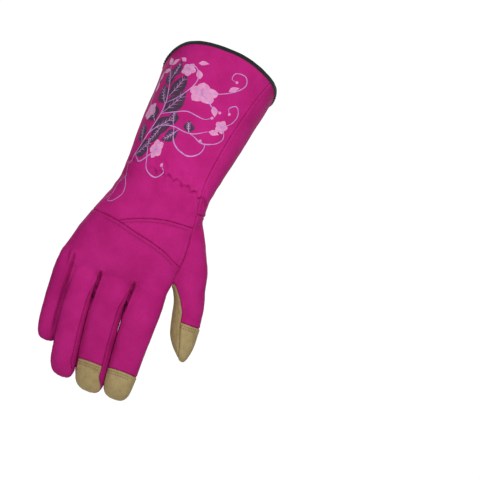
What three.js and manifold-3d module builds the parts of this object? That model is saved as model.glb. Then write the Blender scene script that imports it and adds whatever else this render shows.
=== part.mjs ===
// A right-hand rose pruning gauntlet: a softshell garden glove with a suede palm, a gathered wrist and a
// long flared cuff. It keeps the form of the hand in it, hollow throughout, with walls of cloth and suede.
// Sizes are in millimetres. The glove hangs with its fingers down: +Z runs up the arm, +X points to the
// thumb side and -Y out of the back of the hand. The origin is the middle of the wrist.
import * as THREE from 'three';
import { mergeVertices } from 'three/addons/utils/BufferGeometryUtils.js';
import Module from 'manifold-3d';

// Hand
const handLength = 208;
const wristWidth = 88;
const wristDepth = 58;
const knuckleWidth = 110;
const knuckleDepth = 35;
const knuckleDrop = 96;
const knuckleShift = -19;
const wristOffset = 2;
const wall = 2;
const seamGap = 0.3;

// Cuff
const cuffLength = 130;
const rimWidth = 110.5;
const rimDepth = 96;
const rimShift = 14;
const rimDip = 9;
const rimTilt = 5;
const cuffBend = 25;
const bendLength = 40;
const gatherHeight = 10;
const gatherDepth = 1.5;
const gatherPleats = 16;
const bindingHeight = 5;
const bindingThickness = 3.6;

// Fingers
const fingerCurl = 15;
const slitDrop = 94;
const webDrop = 128;
const stripWidth = 11.5;
const stripTurn = 4;
const capLength = 29;
const thumbCapLength = 34;
const thumbLength = 151;

// Pads
const padThickness = 1.8;
const padSeat = 0.3;

// Facets
const bodySides = 32;
const fingerSides = 12;
const thumbSides = 14;
const backColumns = 22;
const palmColumns = 20;

// Sections of the hand from the wrist down: down as a share of knuckleDrop, spread and thin from the wrist's
// size (0) to the knuckles' size (1), shift as a share of knuckleShift.
const handSections = [
  { down: 0.0, spread: 0.0, shift: 0.0, thinBack: 0.0, thinPalm: 0.0 },
  { down: 0.16, spread: 0.18, shift: 0.14, thinBack: 0.04, thinPalm: -0.06 },
  { down: 0.36, spread: 0.5, shift: 0.37, thinBack: 0.15, thinPalm: -0.02 },
  { down: 0.58, spread: 0.78, shift: 0.62, thinBack: 0.36, thinPalm: 0.18 },
  { down: 0.8, spread: 0.95, shift: 0.83, thinBack: 0.7, thinPalm: 0.58 },
  { down: 0.92, spread: 0.99, shift: 0.94, thinBack: 0.98, thinPalm: 0.9 },
  { down: 1.0, spread: 1.0, shift: 1.0, thinBack: 1.3, thinPalm: 1.15 },
];

// Sections of the cuff from the wrist up: up as a share of cuffLength, flare and open from the wrist's size
// (0) to the rim's size (1), and seam the place of the thumb side's long seam as a share of the half width.
const cuffSections = [
  { up: 0.0, flare: 0.0, open: 0.0, seam: 0.79 },
  { up: 0.12, flare: 0.08, open: 0.1, seam: 0.74 },
  { up: 0.3, flare: 0.28, open: 0.34, seam: 0.73 },
  { up: 0.55, flare: 0.54, open: 0.62, seam: 0.75 },
  { up: 0.8, flare: 0.8, open: 0.86, seam: 0.8 },
  { up: 1.0, flare: 1.0, open: 1.0, seam: 0.87 },
];

// The four fingers at their base, as shares of knuckleWidth: across from the middle of the wrist, drift of
// the tip to the thumb side, width, depth and lift towards the palm. Drop is a share of handLength.
const fingerTable = [
  { across: -0.569, drift: 0.045, width: 0.204, depth: 0.2, drop: 0.862, lift: 0.055 },
  { across: -0.382, drift: 0.086, width: 0.236, depth: 0.232, drop: 0.986, lift: 0 },
  { across: -0.109, drift: 0.091, width: 0.267, depth: 0.245, drop: 1, lift: 0 },
  { across: 0.195, drift: 0.032, width: 0.282, depth: 0.245, drop: 0.986, lift: 0 },
];
const fingers = fingerTable.map(({ across, drift, width, depth, drop, lift }) => ({
  across: knuckleWidth * across,
  drift: knuckleWidth * drift,
  width: knuckleWidth * width,
  depth: knuckleWidth * depth,
  drop: handLength * drop,
  lift: knuckleWidth * lift,
}));

// Taper of a finger: along as a share of its length below the knuckles, size as a share of its base.
const fingerTaper = [
  { along: -0.12, size: 0.8 },
  { along: 0.05, size: 0.98 },
  { along: 0.3, size: 1.0 },
  { along: 0.6, size: 0.94 },
  { along: 0.78, size: 0.9 },
  { along: 0.88, size: 0.82 },
  { along: 0.95, size: 0.63 },
  { along: 0.985, size: 0.37 },
  { along: 1.0, size: 0.1 },
];

// Sections of the thumb: down as a share of thumbLength, across and forward as millimetres from the middle
// of the wrist at full length, thick across the thumb and broad from back to palm.
const thumbThickness = 32;
const thumbBreadth = 31;
const thumbReach = 72;
const thumbForward = 19;
const thumbSections = [
  { down: 0.12, reach: 0.44, forward: 0.08, thick: 0.85, broad: 0.8 },
  { down: 0.2, reach: 0.5, forward: 0.14, thick: 0.97, broad: 1.02 },
  { down: 0.28, reach: 0.57, forward: 0.22, thick: 1.0, broad: 1.16 },
  { down: 0.4, reach: 0.65, forward: 0.36, thick: 1.18, broad: 1.18 },
  { down: 0.53, reach: 0.735, forward: 0.52, thick: 1.1, broad: 1.08 },
  { down: 0.63, reach: 0.828, forward: 0.66, thick: 0.94, broad: 1.0 },
  { down: 0.75, reach: 0.875, forward: 0.8, thick: 0.85, broad: 0.94 },
  { down: 0.85, reach: 0.908, forward: 0.9, thick: 0.77, broad: 0.86 },
  { down: 0.93, reach: 0.95, forward: 0.96, thick: 0.52, broad: 0.66 },
  { down: 0.98, reach: 0.985, forward: 0.99, thick: 0.24, broad: 0.4 },
  { down: 1.0, reach: 1.0, forward: 1.0, thick: 0.08, broad: 0.14 },
];

// Seams on the back of the hand, read from the little finger's side: across and down as shares of half the
// knuckleWidth and of knuckleDrop.
const handSeam = [
  { across: -1.6, down: 0.46 },
  { across: -0.76, down: 0.456 },
  { across: -0.5, down: 0.478 },
  { across: -0.19, down: 0.522 },
  { across: 0.165, down: 0.569 },
  { across: 0.44, down: 0.62 },
  { across: 0.63, down: 0.677 },
  { across: 0.9, down: 0.74 },
];
const wedgeSeam = [
  { across: -0.54, down: 0.47 },
  { across: -0.35, down: 0.416 },
  { across: -0.015, down: 0.346 },
  { across: 0.27, down: 0.308 },
  { across: 0.52, down: 0.298 },
  { across: 0.9, down: 0.29 },
];

// Edges that run down the thumb side: back is the long seam on the back, palm the edge of the suede next to
// the thumb's softshell strip and crease the seam between the palm and the thumb's suede.
const thumbSeams = [
  { down: 0.0, back: 0.668, palm: 0.42, crease: 0.43 },
  { down: 0.12, back: 0.71, palm: 0.44, crease: 0.43 },
  { down: 0.38, back: 0.745, palm: 0.56, crease: 0.44 },
  { down: 0.48, back: 0.755, palm: 0.66, crease: 0.46 },
  { down: 0.62, back: 0.755, palm: 0.82, crease: 0.53 },
  { down: 0.78, back: 0.73, palm: 0.93, crease: 0.63 },
  { down: 0.9, back: 0.715, palm: 1.0, crease: 0.71 },
  { down: 1.18, back: 0.8, palm: 1.09, crease: 0.755 },
  { down: 1.36, back: 0.86, palm: 1.14, crease: 0.755 },
  { down: 1.6, back: 0.9, palm: 1.24, crease: 0.755 },
  { down: 2.3, back: 0.9, palm: 1.3, crease: 0.755 },
];
const palmSeamDrop = 14;
const thumbSuedeStart = 0.36;

// Stitched pads on the palm: corners of each outline, across and down in shares as for the seams.
const padOutlines = {
  pad_knuckles: [
    { across: -1.14, down: 0.94 },
    { across: -1.2, down: 1.12 },
    { across: -1.16, down: 1.24 },
    { across: -1.08, down: 1.26 },
    { across: -0.97, down: 1.14 },
    { across: -0.87, down: 1.14 },
    { across: -0.78, down: 1.28 },
    { across: -0.68, down: 1.28 },
    { across: -0.54, down: 1.16 },
    { across: -0.42, down: 1.18 },
    { across: -0.3, down: 1.36 },
    { across: -0.14, down: 1.34 },
    { across: 0.03, down: 1.19 },
    { across: 0.16, down: 1.2 },
    { across: 0.28, down: 1.38 },
    { across: 0.46, down: 1.38 },
    { across: 0.55, down: 1.2 },
    { across: 0.5, down: 1.08 },
    { across: 0.0, down: 1.04 },
    { across: -0.6, down: 0.97 },
  ],
  pad_palm: [
    { across: -1.06, down: 0.84 },
    { across: -0.7, down: 0.92 },
    { across: -0.2, down: 1.0 },
    { across: 0.3, down: 1.03 },
    { across: 0.44, down: 1.0 },
    { across: 0.45, down: 0.9 },
    { across: 0.38, down: 0.74 },
    { across: 0.3, down: 0.68 },
    { across: 0.16, down: 0.82 },
    { across: -0.1, down: 0.87 },
    { across: -0.4, down: 0.78 },
    { across: -0.7, down: 0.56 },
    { across: -0.86, down: 0.44 },
    { across: -0.96, down: 0.6 },
  ],
  pad_heel: [
    { across: -0.7, down: 0.43 },
    { across: -0.5, down: 0.62 },
    { across: -0.2, down: 0.8 },
    { across: -0.06, down: 0.82 },
    { across: -0.08, down: 0.66 },
    { across: -0.18, down: 0.44 },
    { across: -0.24, down: 0.3 },
    { across: -0.34, down: 0.26 },
    { across: -0.6, down: 0.28 },
    { across: -0.69, down: 0.34 },
  ],
  pad_thenar: [
    { across: 0.14, down: 0.76 },
    { across: 0.22, down: 0.74 },
    { across: 0.24, down: 0.64 },
    { across: 0.16, down: 0.44 },
    { across: 0.08, down: 0.3 },
    { across: -0.02, down: 0.26 },
    { across: -0.1, down: 0.31 },
    { across: -0.11, down: 0.44 },
    { across: -0.02, down: 0.62 },
  ],
};

// Materials
const softshell = new THREE.MeshStandardMaterial({ color: 0xb3246f, roughness: 0.85, metalness: 0 });
const suede = new THREE.MeshStandardMaterial({ color: 0xa8956a, roughness: 0.95, metalness: 0 });
const blackTape = new THREE.MeshStandardMaterial({ color: 0x1c201d, roughness: 0.7, metalness: 0 });

const wasm = await Module();
wasm.setup();

// The value of a column at a place along a table, smooth between its rows
function column(table, key, place, name) {
  const rows = table.map((row) => row[key]);
  let i = 0;
  while (i < rows.length - 2 && place > rows[i + 1]) i++;
  const slope = (a, b) => (table[b][name] - table[a][name]) / (rows[b] - rows[a]);
  const run = rows[i + 1] - rows[i];
  const share = Math.min(1, Math.max(0, (place - rows[i]) / run));
  const here = slope(i, i + 1);
  const before = i > 0 ? (slope(i - 1, i) + here) / 2 : here;
  const after = i < rows.length - 2 ? (slope(i + 1, i + 2) + here) / 2 : here;
  const p = table[i][name];
  const q = table[i + 1][name];
  const s2 = share * share;
  const s3 = s2 * share;
  return p * (2 * s3 - 3 * s2 + 1) + before * run * (s3 - 2 * s2 + share)
    + q * (3 * s2 - 2 * s3) + after * run * (s3 - s2);
}

const mix = (a, b, share) => a + (b - a) * share;

// Half width, half depths and sideways shift of the body at a distance up the arm, negative down the hand
function bodySection(up) {
  if (up < 0) {
    const down = -up / knuckleDrop;
    const at = (name) => column(handSections, 'down', down, name);
    return {
      half: mix(wristWidth, knuckleWidth, at('spread')) / 2,
      back: mix(wristDepth, knuckleDepth, at('thinBack')) / 2,
      palm: mix(wristDepth, knuckleDepth, at('thinPalm')) / 2,
      across: wristOffset + knuckleShift * at('shift'),
    };
  }
  const share = up / cuffLength;
  const depth = mix(wristDepth, rimDepth, column(cuffSections, 'up', share, 'open')) / 2;
  return {
    half: mix(wristWidth, rimWidth, column(cuffSections, 'up', share, 'flare')) / 2,
    back: depth,
    palm: depth,
    across: wristOffset + rimShift * share,
  };
}

// A rounded section's point at an angle from the thumb side, 90 degrees being the palm and -90 the back
const roundness = 2.35;
function rounded(angle, half, back, palm) {
  const c = Math.cos(angle);
  const s = Math.sin(angle);
  const power = 2 / roundness;
  const deep = s < 0 ? back : palm;
  return [half * Math.sign(c) * Math.abs(c) ** power, deep * Math.sign(s) * Math.abs(s) ** power];
}

// The gathers round the back of the wrist pull the cloth in and out by turns
function gather(up, angle) {
  const near = Math.exp(-(((up - gatherHeight) / 7) ** 2));
  const onBack = Math.max(0, -Math.sin(angle));
  const pleat = 0.5 + 0.5 * Math.cos(angle * gatherPleats);
  return -gatherDepth * near * onBack * pleat;
}

// A point of the body's surface, moved out by grow. Above the wrist the sections lean towards the palm side.
function bodyPoint(up, angle, grow) {
  const section = bodySection(up);
  const out = grow + gather(up, angle);
  const [x, y] = rounded(angle, section.half + out, section.back + out, section.palm + out);
  const bend = THREE.MathUtils.degToRad(cuffBend);
  const radius = bendLength / bend;
  const lean = up < 0 ? 0 : Math.min(1, up / bendLength) * bend;
  const straight = Math.max(0, up - bendLength);
  const spineY = radius * (1 - Math.cos(lean)) + straight * Math.sin(lean);
  const spineZ = up < 0 ? up : radius * Math.sin(lean) + straight * Math.cos(lean);
  return new THREE.Vector3(
    section.across + x,
    spineY + y * Math.cos(lean),
    spineZ - y * Math.sin(lean),
  );
}

// A solid from points and triangles, facing out
function solid(points, faces) {
  let volume = 0;
  for (const [a, b, c] of faces) volume += points[a].dot(points[b].clone().cross(points[c]));
  const turned = volume < 0 ? faces.map(([a, b, c]) => [a, c, b]) : faces;
  return new wasm.Manifold(new wasm.Mesh({
    numProp: 3,
    vertProperties: new Float32Array(points.flatMap((p) => [p.x, p.y, p.z])),
    triVerts: new Uint32Array(turned.flat()),
  }));
}

// A closed solid through a list of rings of points, its two ends flat
function loft(rings) {
  const count = rings[0].length;
  const faces = [];
  for (let row = 0; row + 1 < rings.length; row++) {
    for (let i = 0; i < count; i++) {
      const j = (i + 1) % count;
      const low = row * count;
      const high = low + count;
      faces.push([low + i, low + j, high + j], [low + i, high + j, high + i]);
    }
  }
  const last = (rings.length - 1) * count;
  for (let i = 1; i + 1 < count; i++) faces.push([0, i + 1, i], [last, last + i, last + i + 1]);
  return solid(rings.flat(), faces);
}

// A sheet with a thickness from two grids of points, outer and inner, open or closed round its columns
function sheet(outer, inner, closed) {
  const columns = outer.length;
  const rows = outer[0].length;
  const points = [...outer.flat(), ...inner.flat()];
  const at = (side, i, j) => side * columns * rows + (i % columns) * rows + j;
  const faces = [];
  const quad = (a, b, c, d) => faces.push([a, b, c], [a, c, d]);
  const spans = closed ? columns : columns - 1;
  for (let i = 0; i < spans; i++) {
    for (let j = 0; j + 1 < rows; j++) {
      quad(at(0, i, j), at(0, i + 1, j), at(0, i + 1, j + 1), at(0, i, j + 1));
      quad(at(1, i, j), at(1, i, j + 1), at(1, i + 1, j + 1), at(1, i + 1, j));
    }
    quad(at(0, i, 0), at(1, i, 0), at(1, i + 1, 0), at(0, i + 1, 0));
    quad(at(0, i, rows - 1), at(0, i + 1, rows - 1), at(1, i + 1, rows - 1), at(1, i, rows - 1));
  }
  for (let j = 0; j + 1 < rows && !closed; j++) {
    quad(at(0, 0, j), at(0, 0, j + 1), at(1, 0, j + 1), at(1, 0, j));
    quad(at(0, spans, j), at(1, spans, j), at(1, spans, j + 1), at(0, spans, j + 1));
  }
  return solid(points, faces);
}

const around = (count, point) => Array.from({ length: count }, (_, i) => point((2 * Math.PI * i) / count));

// The hand's body from just above the wrist to the knuckles, grown by a distance
function handBody(grow) {
  const top = 6 + Math.max(0, -grow) * 2;
  const bottom = -knuckleDrop - grow;
  const rows = 10;
  const rings = [];
  for (let row = 0; row <= rows; row++) {
    const up = mix(top, bottom, row / rows);
    rings.push(around(bodySides, (angle) => bodyPoint(up, angle, grow)));
  }
  return loft(rings);
}

// An upright ring of a tube: its middle, half sizes and height
function ring(count, x, y, halfX, halfY, z) {
  return around(count, (angle) => new THREE.Vector3(
    x + halfX * Math.cos(angle),
    y + halfY * Math.sin(angle),
    z,
  ));
}

// How far the fingers have curled towards the palm at a height
function curl(z) {
  const share = Math.max(0, (-z - knuckleDrop) / (handLength - knuckleDrop));
  return fingerCurl * share * share;
}

// The middle of a finger at a height
function fingerMiddle(finger, z) {
  const share = Math.max(0, (-z - knuckleDrop) / (finger.drop - knuckleDrop));
  return { x: finger.across + finger.drift * share ** 2, y: curl(z) + finger.lift };
}

function fingerTube(finger, grow) {
  const length = finger.drop - knuckleDrop;
  return loft(fingerTaper.map(({ along, size }) => {
    const end = along > 0.8 ? grow * (along - 0.8) / 0.2 : 0;
    const z = -knuckleDrop - along * length - end;
    const middle = fingerMiddle(finger, z);
    const halfX = Math.max(0.4, (finger.width * size) / 2 + grow);
    const halfY = Math.max(0.4, (finger.depth * size) / 2 + grow);
    return ring(fingerSides, middle.x, middle.y, halfX, halfY, z);
  }));
}

function thumbTube(grow) {
  return loft(thumbSections.map(({ down, reach, forward, thick, broad }) => {
    const end = down > 0.9 ? grow * (down - 0.9) / 0.1 : 0;
    const halfX = Math.max(0.4, (thumbThickness * thick) / 2 + grow);
    const halfY = Math.max(0.4, (thumbBreadth * broad) / 2 + grow);
    const y = thumbForward * forward;
    return ring(thumbSides, thumbReach * reach, y, halfX, halfY, -thumbLength * down - end);
  }));
}

// The webs between the fingers: the body's end slants from the back of the hand down to the palm
function web(grow) {
  const left = fingers[0].across - grow;
  const right = fingers[3].across + grow;
  const drops = [
    { z: -slitDrop + 8, back: -knuckleDepth * 0.44, palm: knuckleDepth * 0.42 },
    { z: -slitDrop - 4, back: -knuckleDepth * 0.36, palm: knuckleDepth * 0.42 },
    { z: -webDrop, back: knuckleDepth * 0.26, palm: knuckleDepth * 0.4 },
  ];
  return loft(drops.map(({ z, back, palm }) => [
    new THREE.Vector3(left, back - grow, z),
    new THREE.Vector3(right, back - grow, z),
    new THREE.Vector3(right, palm + grow, z),
    new THREE.Vector3(left, palm + grow, z),
  ]));
}

function hand(grow) {
  return [...fingers.map((finger) => fingerTube(finger, grow)), thumbTube(grow), web(grow)]
    .reduce((whole, tube) => whole.add(tube), handBody(grow));
}

// Cutting blocks: a stack of upright boxes, one row for each height with its sides, back and front, drawn in
// on every side by a margin
const far = 90;
const deep = 75;
const low = -handLength - 12;
function block(rows, margin) {
  return loft(rows.map(({ z, left, right, back, front }, i) => {
    const end = i === 0 ? -margin : 0;
    const x = [left + margin, Math.max(right - margin, left + margin + 0.05)];
    const y = [back + margin, front - margin];
    return [[0, 0], [1, 0], [1, 1], [0, 1]].map(([i, j]) => new THREE.Vector3(x[i], y[j], z + end));
  }));
}

// Panels are cut from the hand's shell one after another, with a seam gap between them
let uncut = hand(0).subtract(hand(-wall));
function cut(...spaces) {
  const join = (margin) => spaces.map((rows) => block(rows, margin)).reduce((whole, piece) => whole.add(piece));
  const panel = uncut.intersect(join(0));
  uncut = uncut.subtract(join(-seamGap));
  return panel;
}

const heights = (from, to, steps) => Array.from({ length: steps + 1 }, (_, i) => mix(from, to, i / steps));
const half = knuckleWidth / 2;
const seamAt = (z, name) => half * column(thumbSeams, 'down', -z / knuckleDrop, name);

// Height of a seam on the back of the hand at a place across it
const seamHeight = (table, x) => -knuckleDrop * column(table, 'across', x / half, 'down');

// Below the slits the palm and back panels draw apart for the strips between the fingers: their edges' depths
const slitOpen = (z) => THREE.MathUtils.smoothstep(-z, slitDrop - 14, slitDrop + 10);
const palmEdge = (z) => slitOpen(z) * (curl(z) + stripWidth / 2);
const backEdge = (z) => slitOpen(z) * (curl(z) - stripWidth / 2);

// How far the thumb stands free of the hand at a height, from 0 to 1
const thumbFree = (z) => THREE.MathUtils.smoothstep(-z, slitDrop - 14, slitDrop - 4);

const [little, ringFinger, middle, index] = fingers;
const between = (first, second, z, share) => mix(fingerMiddle(first, z).x, fingerMiddle(second, z).x, share);

// A strip's edge on the back lies nearer the knuckles' side of the finger on its left than of the one on its
// right, because the fingers are turned a little to the thumb
const strip = (first, second) => [[0, 0.51, stripTurn], [0.49, 1, -stripTurn]].map(([from, to, turn]) => (
  heights(-slitDrop + 2, low, 6).map((z) => ({
    z,
    left: between(first, second, z, from),
    right: between(first, second, z, to),
    back: backEdge(z) - turn * slitOpen(z),
    front: palmEdge(z),
  }))
));
const cap = (finger) => heights(-finger.drop + capLength, low, 3).map((z) => ({
  z,
  left: fingerMiddle(finger, z).x - finger.width * 0.55,
  right: fingerMiddle(finger, z).x + finger.width * 0.55,
  back: -deep,
  front: palmEdge(z),
}));

// The thumb's softshell runs round it from the long seam on the back to the edge of the suede
const thumbRound = (top) => [
  heights(top, low, 9).map((z) => ({
    z, left: seamAt(z, 'palm'), right: far, back: -0.5, front: deep,
  })),
  heights(top, low, 9).map((z) => ({
    z, left: mix(seamAt(z, 'back'), seamAt(z, 'palm'), thumbFree(z)), right: far, back: -deep, front: 0.5,
  })),
];
const thumbSuede = heights(-knuckleDrop * thumbSuedeStart, low, 10).map((z) => ({
  z, left: seamAt(z, 'crease'), right: far, back: mix(0, -deep, thumbFree(z)), front: deep,
}));
const palmFace = [...heights(-palmSeamDrop, -slitDrop, 6), ...heights(-slitDrop * 1.1, low, 6)].map((z) => ({
  z, left: -far, right: far, back: palmEdge(z), front: deep,
}));

const panels = [
  ['fourchette_little_ring', softshell, cut(...strip(little, ringFinger))],
  ['fourchette_ring_middle', softshell, cut(...strip(ringFinger, middle))],
  ['fourchette_middle_index', softshell, cut(...strip(middle, index))],
  ['middle_cap', suede, cut(cap(middle))],
  ['index_cap', suede, cut(cap(index))],
  ['thumb_cap', suede, cut(...thumbRound(-thumbLength + thumbCapLength))],
  ['thumb_back', softshell, cut(...thumbRound(-palmSeamDrop))],
  ['thumb_palm', suede, cut(thumbSuede)],
  ['palm_leather', suede, cut(palmFace)],
];

// A prism through the whole depth over an outline of points across and up
function prism(outline) {
  const shape = new THREE.Shape(outline.map(([x, z]) => new THREE.Vector2(x, z)));
  const geometry = new THREE.ExtrudeGeometry(shape, { depth: 2 * deep, bevelEnabled: false });
  geometry.rotateX(Math.PI / 2);
  geometry.translate(0, deep, 0);
  geometry.deleteAttribute('normal');
  geometry.deleteAttribute('uv');
  const merged = mergeVertices(geometry);
  return new wasm.Manifold(new wasm.Mesh({
    numProp: 3,
    vertProperties: merged.attributes.position.array,
    triVerts: new Uint32Array(merged.index.array),
  }));
}

// What is left of the back is the hand's back below its seam, and the wedge between the two seams
const seamLine = (table, from, to, steps, move) => heights(from, to, steps)
  .map((x) => [x, seamHeight(table, x) + move]);
const wedgeStart = half * wedgeSeam[0].across + 1;
const wedgeEnd = half * 0.86;
const belowSeam = prism([...seamLine(handSeam, -far, wedgeEnd, 14, -seamGap / 2), [wedgeEnd, low], [-far, low]]);
const wedgeArea = prism([
  ...seamLine(wedgeSeam, wedgeStart + 3, wedgeEnd, 8, -seamGap),
  ...seamLine(handSeam, wedgeStart + 3, wedgeEnd, 8, seamGap / 2).toReversed(),
]);
const behind = [0, low].map((z) => ({ z, left: -far, right: far, back: -deep, front: 0 }));
panels.push(['hand_back', softshell, uncut.intersect(belowSeam)]);
panels.push(['back_wedge', softshell, uncut.intersect(wedgeArea).intersect(block(behind, seamGap / 2))]);

// The angle at which the back of the body lies at a place across it
function backAngle(up, x) {
  const section = bodySection(up);
  const share = Math.min(1, Math.max(-1, (x - section.across) / section.half));
  return -Math.acos(Math.sign(share) * Math.abs(share) ** (roundness / 2));
}

// The cuff's long seam on the thumb side goes on up from the one on the hand
function seamAngle(up) {
  if (up < 0) return backAngle(up, seamAt(up, 'back'));
  const { half: side, across } = bodySection(up);
  return backAngle(up, across + side * column(cuffSections, 'up', up / cuffLength, 'seam'));
}

// The rim dips at both sides, more on the thumb side
const rimHeight = (angle) => cuffLength - rimDip * Math.cos(angle) ** 2 - rimTilt * Math.cos(angle);

// A panel of the cuff: a grid from its lower edge to the rim, between two angles that change with the height.
// It notes where each column meets the rim.
const rimAngles = [];
function cuffPanel(from, to, columns, rows, bottom) {
  const angleAt = (share, up) => {
    const inset = seamGap / 2 / bodySection(up).half;
    return mix(from(up) + inset, to(up) - inset, share);
  };
  const grid = (grow) => heights(0, 1, columns).map((share) => {
    const start = bottom((up) => angleAt(share, up));
    let end = cuffLength;
    for (let step = 0; step < 6; step++) end = rimHeight(angleAt(share, end));
    if (grow === 0 && share < 1) rimAngles.push(angleAt(share, end));
    return heights(0, 1, rows).map((step) => {
      const up = mix(start, end, step ** 1.2);
      return bodyPoint(up, angleAt(share, up), grow);
    });
  });
  return sheet(grid(0), grid(-wall), false);
}

// The lower edge of the cuff's back panel follows the seams across the hand
function onSeam(angleAt) {
  let up = -knuckleDrop * 0.4;
  for (let step = 0; step < 20; step++) {
    const { x } = bodyPoint(up, angleAt(up), 0);
    const seam = x < wedgeStart ? seamHeight(handSeam, x) : seamHeight(wedgeSeam, x);
    up = mix(up, seam + seamGap / 2, 0.5);
  }
  return up;
}

// The binding: a band on the rim, standing a seam gap above the panels' edge, on the same columns as they
function binding() {
  const out = (bindingThickness - wall) / 2;
  const grid = (grow) => rimAngles.map((angle) => [0, 1].map((share) => (
    bodyPoint(rimHeight(angle) + seamGap + share * bindingHeight, angle, grow)
  )));
  return sheet(grid(out), grid(-wall - out), true);
}
panels.push(['cuff_back', softshell, cuffPanel(() => -Math.PI, seamAngle, backColumns, 12, onSeam)]);
panels.push(['cuff_palm', softshell, cuffPanel(seamAngle, () => Math.PI, palmColumns, 9, () => -palmSeamDrop
  + seamGap / 2)]);
panels.push(['cuff_binding', blackTape, binding()]);

// A pad: a raised patch of suede over the palm inside its outline
const padSkin = hand(padSeat + padThickness).subtract(hand(padSeat));
const before = [0, low].map((z) => ({ z, left: -far, right: far, back: 2, front: deep }));
for (const [name, outline] of Object.entries(padOutlines)) {
  const corners = outline.map(({ across, down }) => new THREE.Vector2(across * half, -down * knuckleDrop));
  const points = new THREE.SplineCurve([...corners, corners[0]]).getPoints(corners.length * 2).slice(0, -1);
  panels.push([name, suede, padSkin.intersect(prism(points.map(({ x, y }) => [x, y])))
    .intersect(block(before, 0))]);
}

const glove = new THREE.Group();
for (const [name, material, panel] of panels) {
  const made = panel.getMesh();
  const geometry = new THREE.BufferGeometry();
  geometry.setAttribute('position', new THREE.BufferAttribute(new Float32Array(made.vertProperties), 3));
  geometry.setIndex(new THREE.BufferAttribute(new Uint32Array(made.triVerts), 1));
  geometry.computeVertexNormals();
  const piece = new THREE.Mesh(geometry, material);
  piece.name = name;
  glove.add(piece);
}

export default glove;
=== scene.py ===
"""A right-hand rose pruning gauntlet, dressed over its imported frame: sewn softshell and suede panels, quilted
pads, a gathered wrist, a bound cuff and a generic flower print. Sizes are in millimetres until a mesh is made.
+Z runs up the arm, +X to the thumb side and -Y out of the back of the hand."""
import math

import bpy
import numpy as np
from mathutils import Matrix, Vector, kdtree
from mathutils.bvhtree import BVHTree


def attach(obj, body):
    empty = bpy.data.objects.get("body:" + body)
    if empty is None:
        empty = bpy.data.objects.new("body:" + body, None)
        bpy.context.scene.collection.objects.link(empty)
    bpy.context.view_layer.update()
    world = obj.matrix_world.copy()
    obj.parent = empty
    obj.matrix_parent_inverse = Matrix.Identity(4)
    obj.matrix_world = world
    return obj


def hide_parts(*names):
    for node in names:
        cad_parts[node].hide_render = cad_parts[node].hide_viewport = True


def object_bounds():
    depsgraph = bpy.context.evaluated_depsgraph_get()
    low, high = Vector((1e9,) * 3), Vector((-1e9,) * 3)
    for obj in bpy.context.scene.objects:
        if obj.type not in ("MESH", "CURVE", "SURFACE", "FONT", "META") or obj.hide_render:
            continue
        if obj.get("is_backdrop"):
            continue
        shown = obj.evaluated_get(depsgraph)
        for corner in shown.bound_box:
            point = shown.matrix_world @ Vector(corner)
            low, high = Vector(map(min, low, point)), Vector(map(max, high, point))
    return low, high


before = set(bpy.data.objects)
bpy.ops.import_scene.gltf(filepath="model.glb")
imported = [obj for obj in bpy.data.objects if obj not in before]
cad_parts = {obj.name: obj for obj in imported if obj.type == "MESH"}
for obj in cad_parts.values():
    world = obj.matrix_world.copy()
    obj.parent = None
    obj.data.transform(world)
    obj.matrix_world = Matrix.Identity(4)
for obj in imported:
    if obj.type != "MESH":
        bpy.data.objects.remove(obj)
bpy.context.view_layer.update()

MM = 0.001

# Sizes, the same as the solids' sizes
HAND_LENGTH = 208
WRIST_WIDTH, WRIST_DEPTH, WRIST_OFFSET = 88, 58, 2
KNUCKLE_WIDTH, KNUCKLE_DEPTH = 110, 35
KNUCKLE_DROP, KNUCKLE_SHIFT = 96, -19
CUFF_LENGTH = 130
RIM_WIDTH, RIM_DEPTH, RIM_SHIFT = 111.5, 96, 12.4
CUFF_BEND = math.radians(25)
BEND_LENGTH = 40
FINGER_CURL = 15
SLIT_DROP, WEB_DROP = 94, 128
STRIP_WIDTH, STRIP_TURN = 11.5, 4
CAP_LENGTH, THUMB_CAP_LENGTH, THUMB_LENGTH = 29, 34, 151
THUMB_THICKNESS, THUMB_BREADTH, THUMB_REACH, THUMB_FORWARD = 32, 31, 72, 19
PALM_SEAM_DROP = 14
THUMB_SUEDE_START = 0.36
ROUNDNESS = 2.35
HALF = KNUCKLE_WIDTH / 2

# Fineness of the cloth's mesh, and the cloth's thickness
VOXEL = 1.0
WALL = 1.7

HAND_SECTIONS = dict(
    down=[0.0, 0.16, 0.36, 0.58, 0.8, 0.92, 1.0],
    spread=[0.0, 0.18, 0.5, 0.78, 0.95, 0.99, 1.0],
    shift=[0.0, 0.09, 0.31, 0.58, 0.82, 0.94, 1.0],
    thin_back=[0.0, 0.04, 0.15, 0.36, 0.7, 0.98, 1.3],
    thin_palm=[0.0, -0.06, -0.02, 0.18, 0.58, 0.9, 1.15],
)
CUFF_SECTIONS = dict(
    up=[0.0, 0.12, 0.3, 0.55, 0.8, 1.0],
    flare=[0.0, 0.11, 0.35, 0.6, 0.82, 1.0],
    open=[0.0, 0.1, 0.34, 0.62, 0.86, 1.0],
    seam=[0.79, 0.74, 0.73, 0.75, 0.8, 0.87],
)
RIM_HEIGHTS = dict(
    turn=[-200, -180, -160, -135, -90, -45, -20, 0, 30, 90, 150, 160, 180, 200],
    up=[121.5, 118, 122.5, 129.6, 131.2, 126, 125.2, 125.2, 126, 130, 124, 121.5, 118, 122.5],
)
FINGERS = [
    dict(across=-0.563, drift=0.04, width=0.212, depth=0.208, drop=0.856, lift=0.088, turn=0, apart=-6, base=0),
    dict(across=-0.392, drift=0.108, width=0.254, depth=0.242, drop=0.99, lift=0, turn=5, apart=-2, base=0),
    dict(across=-0.118, drift=0.096, width=0.296, depth=0.252, drop=1.013, lift=0, turn=5.6, apart=2, base=0),
    dict(across=0.193, drift=0.023, width=0.275, depth=0.25, drop=1.006, lift=0, turn=4, apart=6, base=0.17),
]
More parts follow.
